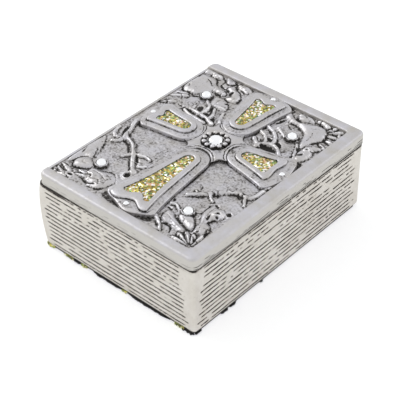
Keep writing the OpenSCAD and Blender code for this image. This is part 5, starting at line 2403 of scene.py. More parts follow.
def back_right_corner() -> list[Shape]:
    """Lists the relief between the head and the right arm.

    Returns:
        The shapes, in the order in which they lie on each other.
    """
    return [
        Leaf(((8.4, 41.2), (11, 39.4), (14.4, 38.4), (18.4, 39.6), (21.6, 41.2), (25, 40.8),
            (27.6, 38), (28.4, 35), (26.8, 31.8), (25.4, 28.4), (24.8, 25.4), (23, 27.2),
            (21.6, 30.6), (19.8, 34), (15.4, 36), (11, 36.2), (7.6, 38.2)), 1.25, 1.5, (((21.6, 37),
            (23, 38.2), (24.2, 38.6)), ((23.2, 35), (24.2, 32), (24, 28.6)))),
        Leaf(((11.8, 40.8), (13.8, 39.8), (16, 40.4), (19, 41.8), (17, 43.6), (13.4, 43.4),
            (11.6, 42.4)), 1.1, 0.9),
        Leaf(((19.4, 43), (22, 42.6), (24.8, 41.8), (26, 43.4), (23.6, 44.4), (19.8, 44.4)), 0.9,
            0.8),
        petal(26.0, 40.6, 62, 4.4, 0.8),
        petal(27.0, 39.8, 40, 6.0, 0.8),
        petal(27.8, 38.0, 18, 4.8, 0.8, 0.9),
        petal(28.4, 35.4, -4, 4.2, 0.8, 0.9),
        petal(28.0, 32.6, -24, 4.6, 0.75, 0.8),
        Leaf(((26.6, 19.4), (28.6, 18), (30.4, 20), (31, 23.6), (30, 27), (31.6, 29.4),
            (29.6, 30.4), (27.6, 29), (26, 26.4), (25.8, 23)), 1.0, 0.9),
        Stem(((11.2, 15.4), (12.2, 18), (14.8, 19.9), (17.6, 19.8), (20, 18.2), (22, 16.2)), 0.8,
            0.9, 1.25),
        Stem(((6.6, 28.8), (9.6, 27.6), (12.8, 25.4), (14.8, 22.6), (15.2, 20)), 0.9, 0.9, 1.15),
        Stem(((6.4, 24.6), (9, 23.8), (11.4, 21.6), (12.6, 18.8)), 0.7, 0.7, 0.9),
        Stem(((7.4, 19.6), (9.8, 17.8), (12, 16.8)), 0.9, 0.8, 1.0),
        Stem(((10.4, 30.6), (13.2, 29), (15.8, 27.4)), 0.7, 0.5, 0.8),
        Stem(((20.4, 29), (22, 27), (23.8, 24.6), (25.6, 20.6), (28, 17)), 0.55, 0.7, 0.8),
        Stem(((26.4, 16.4), (28.6, 14.8), (30.4, 12), (31.6, 9)), 0.7, 0.6, 1.0),
        Stem(((28.2, 19.4), (29.8, 15.8), (31.4, 12.6)), 0.5, 0.5, 0.8),
        Ridge(((12.2, 41.2), (13.4, 41.6)), 0.6, 0.5),
        Ridge(((21.6, 36.6), (23.6, 38)), 0.35, 0.35),
        Ridge(((10, 36.8), (11.2, 34.4)), 0.4, 0.5),
        Ridge(((30.4, 42.4), (31.2, 41)), 0.35, 0.4),
        Groove(((11.8, 40.4), (13.6, 39.2), (16, 39.2), (18.8, 40.2)), 0.45, 0.5, 0.9),
        Groove(((13.2, 43), (15, 42.4), (15.4, 41.8)), 0.4, 0.4, 0.7),
        Groove(((19.4, 44.4), (21, 44.2), (21, 42.6), (22.8, 42.2), (24.8, 41.4)), 0.35, 0.45, 0.8),
        Groove(((21.2, 36.8), (22.6, 37.6), (23.6, 38.8)), 0.3, 0.3, 0.5),
        Groove(((25.6, 44), (26.4, 42.8), (27.2, 42.4)), 0.45, 0.6, 1.0),
        Groove(((28.2, 40.6), (30.4, 40.2), (31.6, 39.2)), 0.45, 0.5, 0.9),
        Groove(((27.2, 38), (28.6, 36.2), (28.6, 34.4)), 0.5, 0.6, 1.0),
        Groove(((27.2, 32.8), (28.6, 31.6), (31, 31)), 0.4, 0.45, 0.8),
        Groove(((20.6, 29.4), (21.6, 27.6), (22.4, 26.6)), 0.35, 0.3, 0.6),
        Groove(((16.4, 35), (18, 34.8)), 0.4, 0.3, 0.6),
        Groove(((11.6, 35), (13.4, 33.6), (15, 33)), 0.35, 0.3, 0.6),
        Groove(((30, 16.8), (31.2, 13.6)), 0.35, 0.35, 0.6),
        Groove(((9.6, 20.8), (11.2, 19.8)), 0.5, 0.5, 1.0),
        Pit(8.3, 34.4, 2.3, 0.8, 75, 0.8),
        Pit(7.4, 29.4, 1.7, 0.6, -20, 0.7),
        Pit(5.9, 22.8, 3.0, 0.7, 92, 0.7),
        Pit(15.4, 17.6, 3.6, 1.3, 5, 0.9),
        Pit(17.4, 22.0, 1.9, 0.9, -45, 0.7),
        Pit(12.4, 22.6, 1.4, 0.9, -20, 0.5),
        Pit(27.2, 28.4, 1.1, 0.8, 0, 0.6, 0.3),
        Pit(27.9, 25.3, 0.7, 0.6, 0, 0.5, 0.5),
        Pit(27.6, 21.6, 1.4, 0.8, 50, 0.7),
        Pit(24.4, 24.0, 1.5, 0.6, -50, 0.5),
        Pit(25.2, 19.4, 0.9, 0.7, 0, 0.6),
        Pit(29.6, 25.8, 0.8, 0.4, 60, 0.5),
        Pit(10.0, 26.2, 1.6, 0.5, -30, 0.3),
    ]


@dataclass
class Relief:
    """The cast panel with its vines and leaves, as one skin over its bed.

    Attributes:
        sizes: the box's sizes.
        cross: where the cross lies.
        arms: the cross's arms.
        corners: the middles of the corner crystals.
        step: distance between two points of the skin.
        bed: how far its underside lies below the panel.
        edge: how far it reaches into the rims.
        margin, wide_margin: how far round a shape its own marks reach, and its shade.
        floor: how deep a hollow may be.
        shapes: what is worked into it.
    """

    sizes: Sizes
    cross: Cross
    arms: Sequence[Arm]
    corners: dict[str, Point]
    step: float = 0.262
    bed: float = 0.9
    edge: float = 0.1
    margin: float = 2.0
    wide_margin: float = 2.5
    floor: float = -0.42
    shapes: list[Shape] = field(default_factory=list)

    def __post_init__(self) -> None:
        """Lays the points out and gathers the shapes."""
        s = self.sizes
        left, right = -s.half_w + s.lip_w - self.edge, s.half_w - s.page_rim_w + self.edge
        half_d = s.half_d - s.rim_w + self.edge
        self.count = (round((right - left) / self.step) + 1, round(2 * half_d / self.step) + 1)
        xs = np.linspace(left, right, self.count[0])
        ys = np.linspace(-half_d, half_d, self.count[1])
        self.x, self.y = np.meshgrid(xs, ys, indexing="ij")
        self.z, self.dark, self.smooth = (np.zeros_like(self.x) for _ in range(3))
        self.shapes = [*front_left_corner(), *front_right_corner()]
        self.shapes += [*back_left_corner(), *back_right_corner()]

    def window(self, line: np.ndarray, margin: float) -> tuple[slice, slice]:
        """Finds the part of the grid near a line.

        Args:
            line: the line's points.
            margin: how far round it.

        Returns:
            The grid's slices.
        """
        found = []
        for axis, values in ((0, self.x[:, 0]), (1, self.y[0])):
            low = np.searchsorted(values, line[:, axis].min() - margin)
            high = np.searchsorted(values, line[:, axis].max() + margin)
            found.append(slice(max(low - 1, 0), min(high + 1, len(values))))
        return found[0], found[1]

    @staticmethod
    def near(x: np.ndarray, y: np.ndarray, line: np.ndarray,
            closed: bool = False) -> tuple[np.ndarray, np.ndarray]:
        """Measures the distance to a line.

        Args:
            x: the points' X.
            y: the points' Y.
            line: the line's points.
            closed: whether its last point is joined to its first.

        Returns:
            The distance, and the share along the line of its nearest point.
        """
        ends = np.vstack([line, line[:1]]) if closed else line
        best = np.full(x.shape, 1e9)
        share = np.zeros(x.shape)
        runs = len(ends) - 1
        for k in range(runs):
            ax, ay = ends[k]
            dx, dy = ends[k + 1] - ends[k]
            long = dx * dx + dy * dy + 1e-12
            t = np.clip(((x - ax) * dx + (y - ay) * dy) / long, 0, 1)
            d = np.hypot(x - ax - t * dx, y - ay - t * dy)
            closer = d < best
            best = np.where(closer, d, best)
            share = np.where(closer, (k + t) / runs, share)
        return best, share

    @staticmethod
    def inside(x: np.ndarray, y: np.ndarray, line: np.ndarray) -> np.ndarray:
        """Says which points lie inside a closed line.

        Args:
            x: the points' X.
            y: the points' Y.
            line: the line's points.

        Returns:
            True for each point inside.
        """
        found = np.zeros(x.shape, bool)
        for (ax, ay), (bx, by) in zip(line, np.roll(line, -1, 0)):
            if ay == by:
                continue
            crosses = (ay > y) != (by > y)
            found ^= crosses & (x < (bx - ax) * (y - ay) / (by - ay) + ax)
        return found

    def raise_leaf(self, leaf: Leaf) -> None:
        """Lays a leaf on the panel.

        Args:
            leaf: the leaf.
        """
        line = smooth_line(leaf.outline, 5, closed=True)
        at = self.window(line, self.margin)
        x, y = self.x[at], self.y[at]
        d, _ = self.near(x, y, line, closed=True)
        d = np.where(self.inside(x, y, line), d, -d)
        inward = np.clip(d / (1.3 * leaf.soft), 0, 1)
        rise = np.where(d > 0, 0.35 + 0.65 * np.sin(inward * math.pi / 2), 0)
        rise = rise * smooth_step((d + 0.12) / 0.3)
        crown = 0.12 * np.clip(d / (2 * leaf.soft), 0, 1)
        crown += 0.22 * rise * Grain(Seed.LEAVES).layered(x, y, 4.5, 2)
        height = leaf.height * rise + crown
        self.z[at] = np.maximum(self.z[at], height)
        self.smooth[at] = np.maximum(self.smooth[at], smooth_step(d / 0.4))
        broken = np.clip(0.5 + 0.75 * Grain(Seed.LEAF_EDGES).layered(x, y, 2.6, 3), 0, 1)
        under = np.exp(-(((d + 0.25) / (0.22 + 0.3 * broken)) ** 2)) * (0.1 + 1.0 * broken**1.5)
        top = smooth_step(d / (1.2 * leaf.soft))
        # Leaf tops are painted brighter: wear and a painted highlight together
        rubbed_and_highlit = self.dark[at] * 0.2 + 0.04 - 0.22 * top * (1 - 0.6 * broken)
        self.dark[at] = np.where(d > 0.1, rubbed_and_highlit, np.maximum(self.dark[at], under))
        for vein in leaf.veins:
            self.press(Groove(vein, 0.35, 0.25, 0.35))

    def lay_stem(self, stem: Stem) -> None:
        """Lays a twig on the panel.

        Args:
            stem: the twig.
        """
        line = smooth_line(stem.points, 6)
        at = self.window(line, self.wide_margin)
        x, y = self.x[at], self.y[at]
        d, t = self.near(x, y, line)
        r = stem.start_r + (stem.stop_r - stem.start_r) * t
        back = stem.height * np.sqrt(np.clip(1 - (d / r) ** 2, 0, 1)) ** 0.8
        inside = d < r
        self.z[at] = np.maximum(self.z[at], np.where(inside, back * (0.75 + 0.25 * r), 0))
        self.smooth[at] = np.maximum(self.smooth[at], inside * 1.0)
        broken = np.clip(0.5 + 0.75 * Grain(Seed.STEM_EDGES).layered(x, y, 2.6, 3), 0, 1)
        under = np.exp(-(((d - r - 0.12) / (0.22 + 0.25 * broken)) ** 2))
        under = np.maximum(self.dark[at], under * (0.05 + 0.8 * broken**1.5))
        self.dark[at] = np.where(d < 0.8 * r, self.dark[at] * 0.15 + 0.02, under)

    def press(self, groove: Groove) -> None:
        """Presses a line into the metal.

        Args:
            groove: the groove.
        """
        line = smooth_line(groove.points, 6)
        at = self.window(line, self.margin)
        d, t = self.near(self.x[at], self.y[at], line)
        w = groove.width * (0.45 + 0.55 * np.sin(math.pi * np.clip(t, 0.02, 0.98)))
        shape = np.exp(-((d / w) ** 2))
        self.z[at] -= groove.depth * shape
        self.dark[at] = np.maximum(self.dark[at], groove.dark * np.exp(-((d / (0.9 * w)) ** 4)))

    def fold(self, ridge: Ridge) -> None:
        """Pulls a fold up out of the metal, with a painted highlight along it.

        Args:
            ridge: the ridge.
        """
        line = smooth_line(ridge.points, 6)
        at = self.window(line, self.margin)
        d, t = self.near(self.x[at], self.y[at], line)
        w = ridge.width * (0.5 + 0.5 * np.sin(math.pi * np.clip(t, 0.05, 0.95)))
        shape = np.exp(-((d / w) ** 2))
        self.z[at] += ridge.height * shape
        self.smooth[at] = np.maximum(self.smooth[at], shape)
        # Painted highlight along the fold's crest
        self.dark[at] = self.dark[at] * (1 - 0.9 * shape) - 0.6 * shape**2

    def sink(self, pit: Pit) -> None:
        """Sinks a black hollow into the metal.

        Args:
            pit: the pit.
        """
        centre = np.array([[pit.x, pit.y]])
        at = self.window(centre, pit.rx + self.margin)
        x, y = self.x[at] - pit.x, self.y[at] - pit.y
        a = math.radians(pit.turn)
        u, v = x * math.cos(a) + y * math.sin(a), -x * math.sin(a) + y * math.cos(a)
        q = np.hypot(u / pit.rx, v / pit.ry)
        width = min(pit.rx, pit.ry)
        bowl = smooth_step((1.15 - q) * width / 0.45)
        self.z[at] -= pit.depth * bowl
        self.dark[at] = np.maximum(self.dark[at], bowl)
        if pit.lip > 0:
            lip = np.exp(-(((q - 1.45) * width / 0.4) ** 2))
            self.z[at] += pit.lip * lip
            self.dark[at] *= 1 - 0.8 * lip * (q > 1.2)

    def shade_by_cross(self) -> None:
        """Darkens the floor where the cross and the cups stand on it."""
        grain = Grain(Seed.SHADE)
        rough = 0.5 + 0.5 * grain.layered(self.x, self.y, 3, 3)
        c = self.cross
        for arm in self.arms:
            wide = c.frame_w + c.step_w
            end = arm.reach + c.crystal_d / 2 + c.cup_wall
            line = c.place(arm.outline(c, wide, end, 0, c.end_round), arm.turn)
            at = self.window(line, self.wide_margin)
            x, y = self.x[at], self.y[at]
            d, _ = self.near(x, y, line, closed=True)
            d = np.where(self.inside(x, y, line), 0, d)
            shade = np.exp(-((d / (0.15 + 0.6 * rough[at])) ** 2))
            self.dark[at] = np.maximum(self.dark[at], shade * (0.2 + 1.0 * rough[at]))
            self.z[at] -= 0.25 * shade
        for x0, y0 in self.corners.values():
            d = np.hypot(self.x - x0, self.y - y0) - c.corner_d / 2 - c.cup_wall
            shade = np.exp(-((np.clip(d, 0, None) / 0.45) ** 2))
            self.dark = np.maximum(self.dark, shade * (0.5 + 0.5 * rough))

    @staticmethod
    def blurred(values: np.ndarray, reach: int) -> np.ndarray:
        """Blurs a grid of values.

        Args:
            values: the grid.
            reach: the blur's half width in points.

        Returns:
            The blurred grid.
        """
        kernel = np.exp(-0.5 * (np.arange(-2 * reach, 2 * reach + 1) / reach) ** 2)
        kernel /= kernel.sum()
        for axis in (0, 1):
            pads = [(2 * reach, 2 * reach) if a == axis else (0, 0) for a in (0, 1)]
            padded = np.pad(values, pads, mode="edge")
            values = np.apply_along_axis(np.convolve, axis, padded, kernel, mode="valid")
        return values

    def sculpt(self) -> None:
        """Works every shape into the skin, then the hammered floor, the hollows' patina and painted
        highlights on crests.
        """
        work = {Leaf: self.raise_leaf, Stem: self.lay_stem, Groove: self.press, Ridge: self.fold,
            Pit: self.sink}
        for shape in self.shapes:
            work[type(shape)](shape)
        self.shade_by_cross()
        grain = Grain(Seed.PANEL)
        bare = 1 - 0.6 * self.smooth
        hammered = 0.14 * grain.layered(self.x, self.y, 2.2, 3)
        hammered += 0.07 * grain.at(self.x, self.y, 0.7)
        self.z += bare * hammered + 0.14 * self.smooth * grain.layered(self.x + 9, self.y, 3.4, 2)
        # Creases wander over the leaves, and the patina stayed in them
        course = grain.layered(self.x + 23, self.y - 7, 3.0, 3)
        kept = smooth_step((grain.layered(self.x - 31, self.y + 5, 6, 2) + 0.25) / 0.4)
        crease = self.smooth * kept * np.exp(-((course / 0.11) ** 2))
        self.z -= 0.2 * crease
        self.z = np.maximum(self.z, self.floor)
        hollow = self.blurred(self.z, 4) - self.z
        fine = self.blurred(self.z, 2) - self.z
        self.dark += 0.55 * np.clip(hollow, 0, 0.5)
        self.dark += 0.5 * np.clip(fine, 0, 0.3)
        self.dark += 0.3 * crease
        self.dark += 0.23 * bare + 0.2 * bare * grain.layered(self.x + 40, self.y, 4, 3)
        # Painted highlights: crests that stand proud of their surroundings are painted bright, in
        # patches
        proud = 0.5 + 0.5 * grain.layered(self.x, self.y + 70, 2.0, 3)
        proud = np.clip(-fine - 0.06, 0, 0.3) * proud
        self.dark -= 0.5 * np.clip(-hollow, 0, 0.3) + 2.6 * proud

    def build(self, paints: Paintbox) -> None:
        """Builds and dresses the panel.

        Args:
            paints: the finishes.
        """
        self.sculpt()
        s = self.sizes
        nx, ny = self.count
        low_x, high_x = self.x[0, 0], self.x[-1, 0]
        low_y, high_y = self.y[0, 0], self.y[0, -1]
        deselect()
        bpy.ops.mesh.primitive_grid_add(x_subdivisions=nx - 1, y_subdivisions=ny - 1, size=1,
            location=((low_x + high_x) / 2 * MM, (low_y + high_y) / 2 * MM, s.panel_z * MM))
        ob = bpy.context.object
        ob.name = ob.data.name = "cover_relief"
        ob.scale = ((high_x - low_x) * MM, (high_y - low_y) * MM, 1)
        bpy.ops.object.transform_apply(location=True, rotation=True, scale=True)
        co = np.zeros(len(ob.data.vertices) * 3)
        ob.data.vertices.foreach_get("co", co)
        co = co.reshape(-1, 3)
        i = np.round((co[:, 0] / MM - low_x) / (high_x - low_x) * (nx - 1)).astype(int)
        j = np.round((co[:, 1] / MM - low_y) / (high_y - low_y) * (ny - 1)).astype(int)
        co[:, 2] = (s.panel_z + self.z[i, j]) * MM
        ob.data.vertices.foreach_set("co", co.ravel())
        paint(ob, self.dark[i, j])
        select_edges(ob, lambda a, b: self.on_border(a) and self.on_border(b))
        bpy.ops.mesh.extrude_region_move(TRANSFORM_OT_translate={"value": (0, 0, -0.2 * MM)})
        bpy.ops.transform.resize(value=(1, 1, 0))
        bottom = s.panel_z - self.bed + 0.41
        mesh = bmesh.from_edit_mesh(ob.data)
        for vert in mesh.verts:
            if vert.select:
                vert.co.z = bottom * MM
        bmesh.update_edit_mesh(ob.data)
        bpy.ops.mesh.edge_face_add()
        leave_edit()
        paints.dress(finish_mesh(ob, 180), Slot.METAL, Body.COVER)

    def on_border(self, point: Vector) -> bool:
        """Says whether a point lies on the skin's border."""
        ends = ((point.x, self.x[:, 0]), (point.y, self.y[0]))
        return any(abs(at - line[k]) < NEAR for at, line in ends for k in (0, -1))


# Inlays, crystals and linings


@dataclass
class Inlays:
    """The glitter poured into the four arms.

    Attributes:
        cross: where the cross lies.
        arms: its arms.
        shape: from its edge inwards, how far in and how far below its top the resin lies.
    """

    cross: Cross
    arms: Sequence[Arm]
    shape: Path = (
        (0.05, 0.7), (0.05, 0.34), (0.15, 0.22), (0.4, 0.12), (0.9, 0.05), (1.5, 0.01), (1.95, 0.0),
    )

    def build(self, paints: Paintbox) -> None:
        """Builds and dresses the inlays.

        Args:
            paints: the finishes.
        """
        c = self.cross
        grain = Grain(Seed.INLAYS)
        top = c.pocket_z + c.inlay_t
        for arm in self.arms:
            rings = []
            for back, drop in self.shape:
                end = arm.outer(c) - back
                outline = arm.outline(c, -back, end, arm.notch, c.pocket_round)
                flat = c.place(outline, arm.turn)
                rise = 0.04 * grain.layered(flat[:, 0], flat[:, 1], 1.6, 2) if drop < 0.3 else 0
                rings.append(ring(flat, np.minimum(top - drop + rise, top)))
            piece = loft(f"glitter_{arm.name}", rings, 60)
            paints.dress(piece, Slot.GLITTER, Body.COVER, [f"inlay_{arm.name}"])


@dataclass
class Crystals:
    """The nine cut crystals.

    Attributes:
        cross: where the cross lies.
        arms: its arms.
        corners: the middles of the corner crystals.
        height, girdle, table: height of the cut and of its girdle, and width of its flat top,
            each as a share of the diameter.
        sides: the number of its facets round.
    """

    cross: Cross
    arms: Sequence[Arm]
    corners: dict[str, Point]
    height: float = 0.32
    girdle: float = 0.12
    table: float = 0.66
    sides: int = 16

    def gem(self, name: str, x: float, y: float, d: float, low: float, turn: float) -> Object:
        """Cuts one crystal.

        Args:
            name: the crystal's name.
            x: its middle's X.
            y: its middle's Y.
            d: its diameter.
            low: height of its flat back.
            turn: its turn, in degrees.

        Returns:
            The crystal.
        """
        sides = self.sides
        r = d / 2

        def circle(share: float, z: float, shift: float, wave: float = 0.0) -> np.ndarray:
            """Draws one ring of the cut, every second point drawn in by a wave."""
            angles = np.radians(turn + shift + 360 * np.arange(sides) / sides)
            reach = r * share * (1 - wave * (np.arange(sides) % 2))
            xs, ys = x + reach * np.cos(angles), y + reach * np.sin(angles)
            return np.column_stack([xs, ys, np.full(sides, low + z * d)])

        crown = circle(0.86, 0.24, 0, 0.06)
        crown[1::2, 2] += 0.03 * d
        table = circle(self.table, self.height, 0, 0.05)
        rings = [Ring(circle(0.96, 0, 0)), Ring(circle(1.0, 0.03, 0)),
            Ring(circle(1.0, self.girdle, 0)), Ring(crown), Ring(table)]
        return loft(name, rings, 0)

    def build(self, paints: Paintbox) -> None:
        """Builds and dresses the crystals.

        Args:
            paints: the finishes.
        """
        c = self.cross
        places = [("crystal_centre", c.x, c.y, c.centre_d, c.hub_z + c.centre_cup_h, 8.0)]
        for arm in self.arms:
            x, y = c.place(np.array([[arm.reach, 0.0]]), arm.turn)[0]
            places.append((f"crystal_arm_{arm.name}", x, y, c.crystal_d, c.step_z, arm.turn + 20))
        for i, (name, (x, y)) in enumerate(self.corners.items()):
            face = c.sizes.panel_z + c.corner_cup_h
            places.append((f"crystal_{name}", x, y, c.corner_d, face, 13.0 * i))
        for name, x, y, d, face, turn in places:
            gem = self.gem(name.replace("crystal", "gem"), x, y, d, face - c.seat * d, turn)
            paints.dress(gem, Slot.CRYSTAL, Body.COVER, [name])


@dataclass
class Linings:
    """The felt under the base and the velvet inside.

    Attributes:
        sizes: the box's sizes.
        corner_r, inner_r: radius of the felt's corners and of the velvet's.
    """

    sizes: Sizes
    corner_r: float = 2.2
    inner_r: float = 2.0

    def slab(self, name: str, solid: str, r: float, puff: float, face_up: bool) -> Object:
        """Makes a cut cloth with soft edges in its solid's place.

        Args:
            name: the piece's name.
            solid: the solid that it stands for.
            r: radius of its corners.
            puff: how far its edges fall off.
            face_up: whether the soft face is the upper one.

        Returns:
            The piece.
        """
        low, high = (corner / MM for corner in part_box(solid))
        grain = Grain(Seed.CLOTH)
        near, far = (low.z, high.z) if face_up else (high.z, low.z)
        rise = (far - near) / abs(far - near)
        part = rise * 0.3 * abs(far - near)
        levels = ((0.0, near), (0.0, near + part), (0.02, far - part))
        levels += ((puff * 0.5, far - rise * 0.08), (puff, far), (3 * puff, far), (9 * puff, far))
        rings = []
        for inset, z in levels:
            soft_r = max(r - inset / 2, 0.5)
            flat = round_rect(low.x + inset, high.x - inset, high.y - inset, soft_r, 10)
            rings.append(self.ragged(self.refined(np.array(flat)), z, inset, grain, low, high))
        return loft(name, rings, 60)

    @staticmethod
    def refined(flat: np.ndarray) -> np.ndarray:
        """Adds points along a closed outline's long sides.

        Args:
            flat: the outline.

        Returns:
            The outline with the same number of new points on every run.
        """
        runs = 12
        after = np.roll(flat, -1, 0)
        t = (np.arange(runs) / runs)[None, :, None]
        return (flat[:, None, :] * (1 - t) + after[:, None, :] * t).reshape(-1, 2)

    @staticmethod
    def ragged(flat: np.ndarray, z: float, inset: float, grain: Grain, low: Vector,
            high: Vector) -> Ring:
        """Frays an outline a little inwards.

        Args:
            flat: the outline.
            z: its height.
            inset: how far inside the edge it runs.
            grain: random values.
            low: the solid's lowest corner.
            high: the solid's highest corner.

        Returns:
            The ring.
        """
        centre = np.array([(low.x + high.x) / 2, (low.y + high.y) / 2])
        pull = 0.002 * (1 + grain.layered(flat[:, 0], flat[:, 1] + inset, 1.1, 3)) * (inset < 0.2)
        return ring(flat + (centre - flat) * pull[:, None], z)

    def build(self, paints: Paintbox) -> None:
        """Builds and dresses the cloth pieces.

        Args:
            paints: the finishes.
        """
        pad = self.slab("felt_pad", "base_pad", self.corner_r, 0.1, True)
        paints.dress(pad, Slot.FELT, Body.BASE, ["base_pad"])
        floor = self.slab("velvet_floor", "floor_lining", self.inner_r, 0.25, True)
        paints.dress(floor, Slot.VELVET, Body.BASE, ["floor_lining"])
        roof = self.slab("velvet_cover", "cover_lining", self.inner_r, 0.2, False)
        paints.dress(roof, Slot.VELVET, Body.COVER, ["cover_lining"])


@dataclass
class Fringe:
    """Felt fuzz and stray glitter along the base's lower edge.

    Attributes:
        sizes: the box's sizes.
        stretches: for each clump the side it is on, where it starts and stops, what it is made
            of and half its thickness.
        corner_r: radius of the base's spine corners.
        proud: how far a clump may stand out from the side.
        run: distance between two points along a clump.
        sides: points round it.
    """

    sizes: Sizes
    corner_r: float = 3.4
    proud: float = 0.48
    run: float = 0.22
    sides: int = 10
    stretches: tuple[tuple[str, float, float, Slot, float], ...] = (
        ("front", -39.0, -33.8, Slot.GLITTER, 0.85),
        ("front", -28.9, -22.6, Slot.GLITTER, 0.7),
        ("front", -23.8, -19.8, Slot.FELT, 0.6),
        ("front", -19.8, -16.2, Slot.GLITTER, 0.75),
        ("front", -13.0, 2.0, Slot.FELT, 0.5),
        ("front", 1.6, 4.8, Slot.GLITTER, 0.6),
        ("front", 4.4, 25.6, Slot.FELT, 0.62),
        ("front", 27.4, 33.6, Slot.GLITTER, 0.95),
        ("front", 31.2, 37.0, Slot.FELT, 0.85),
        ("page", -48.0, -44.6, Slot.FELT, 0.6),
        ("page", -34.2, -30.4, Slot.FELT, 0.65),
        ("page", -29.6, -26.0, Slot.FELT, 0.55),
        ("page", -12.4, -10.8, Slot.FELT, 0.4),
    )

    def strip(self, name: str, side: str, start: float, stop: float, half: float) -> Object:
        """Rolls one clump along the edge.

        Args:
            name: the piece's name.
            side: the side it is on.
            start: where it starts.
            stop: where it stops.
            half: half its thickness.

        Returns:
            The piece.
        """
        s = self.sizes
        grain = Grain(Seed.FRINGE)
        count = max(int((stop - start) / self.run), 6)
        rings = []
        for i in range(count + 1):
            t = i / count
            along = start + (stop - start) * t
            end = min(1.0, 0.25 + 5 * min(t, 1 - t))
            points = []
            for k in range(self.sides):
                a = 2 * math.pi * k / self.sides
                uneven = float(grain.layered(along * 2 + 9 * k, stop, 1.0, 2))
                size = half * end * (0.85 + 0.55 * uneven)
                points.append((size * math.cos(a), max(0.55 + 1.1 * size * math.sin(a), 0.02)))
            out = 0.12 * float(grain.layered(along, start, 1.3, 2))
            for_page = side == "page"
            face = s.page_x if for_page else -self.front_edge(along)
            edge = face - 0.45 * half + out
            reach = [min(edge + p, face + self.proud) for p, _ in points]
            heights = [z for _, z in points]
            rows = [(r, along, z) if for_page else (along, -r, z) for r, z in zip(reach, heights)]
            rings.append(Ring(np.array(rows)))
        return loft(name, rings, 70)

    def front_edge(self, x: float) -> float:
        """Gives where the base's front face lies, round its spine corner too."""
        s = self.sizes
        centre = s.spine_at(s.pad_top + 1) + self.corner_r
        if x > centre:
            return -s.base_half_d
        return -s.base_half_d + self.corner_r - math.sqrt(self.corner_r**2 - (x - centre) ** 2)

    def build(self, paints: Paintbox) -> None:
        """Builds and dresses the clumps.

        Args:
            paints: the finishes.
        """
        for i, (side, start, stop, slot, half) in enumerate(self.stretches, 1):
            kind = "stray_glitter" if slot is Slot.GLITTER else "felt_fuzz"
            piece = self.strip(f"{kind}_{i}", side, start, stop, half)
            finish = paints.stray_glitter if slot is Slot.GLITTER else None
            paints.dress(piece, slot, Body.BASE, material=finish)


# The studio


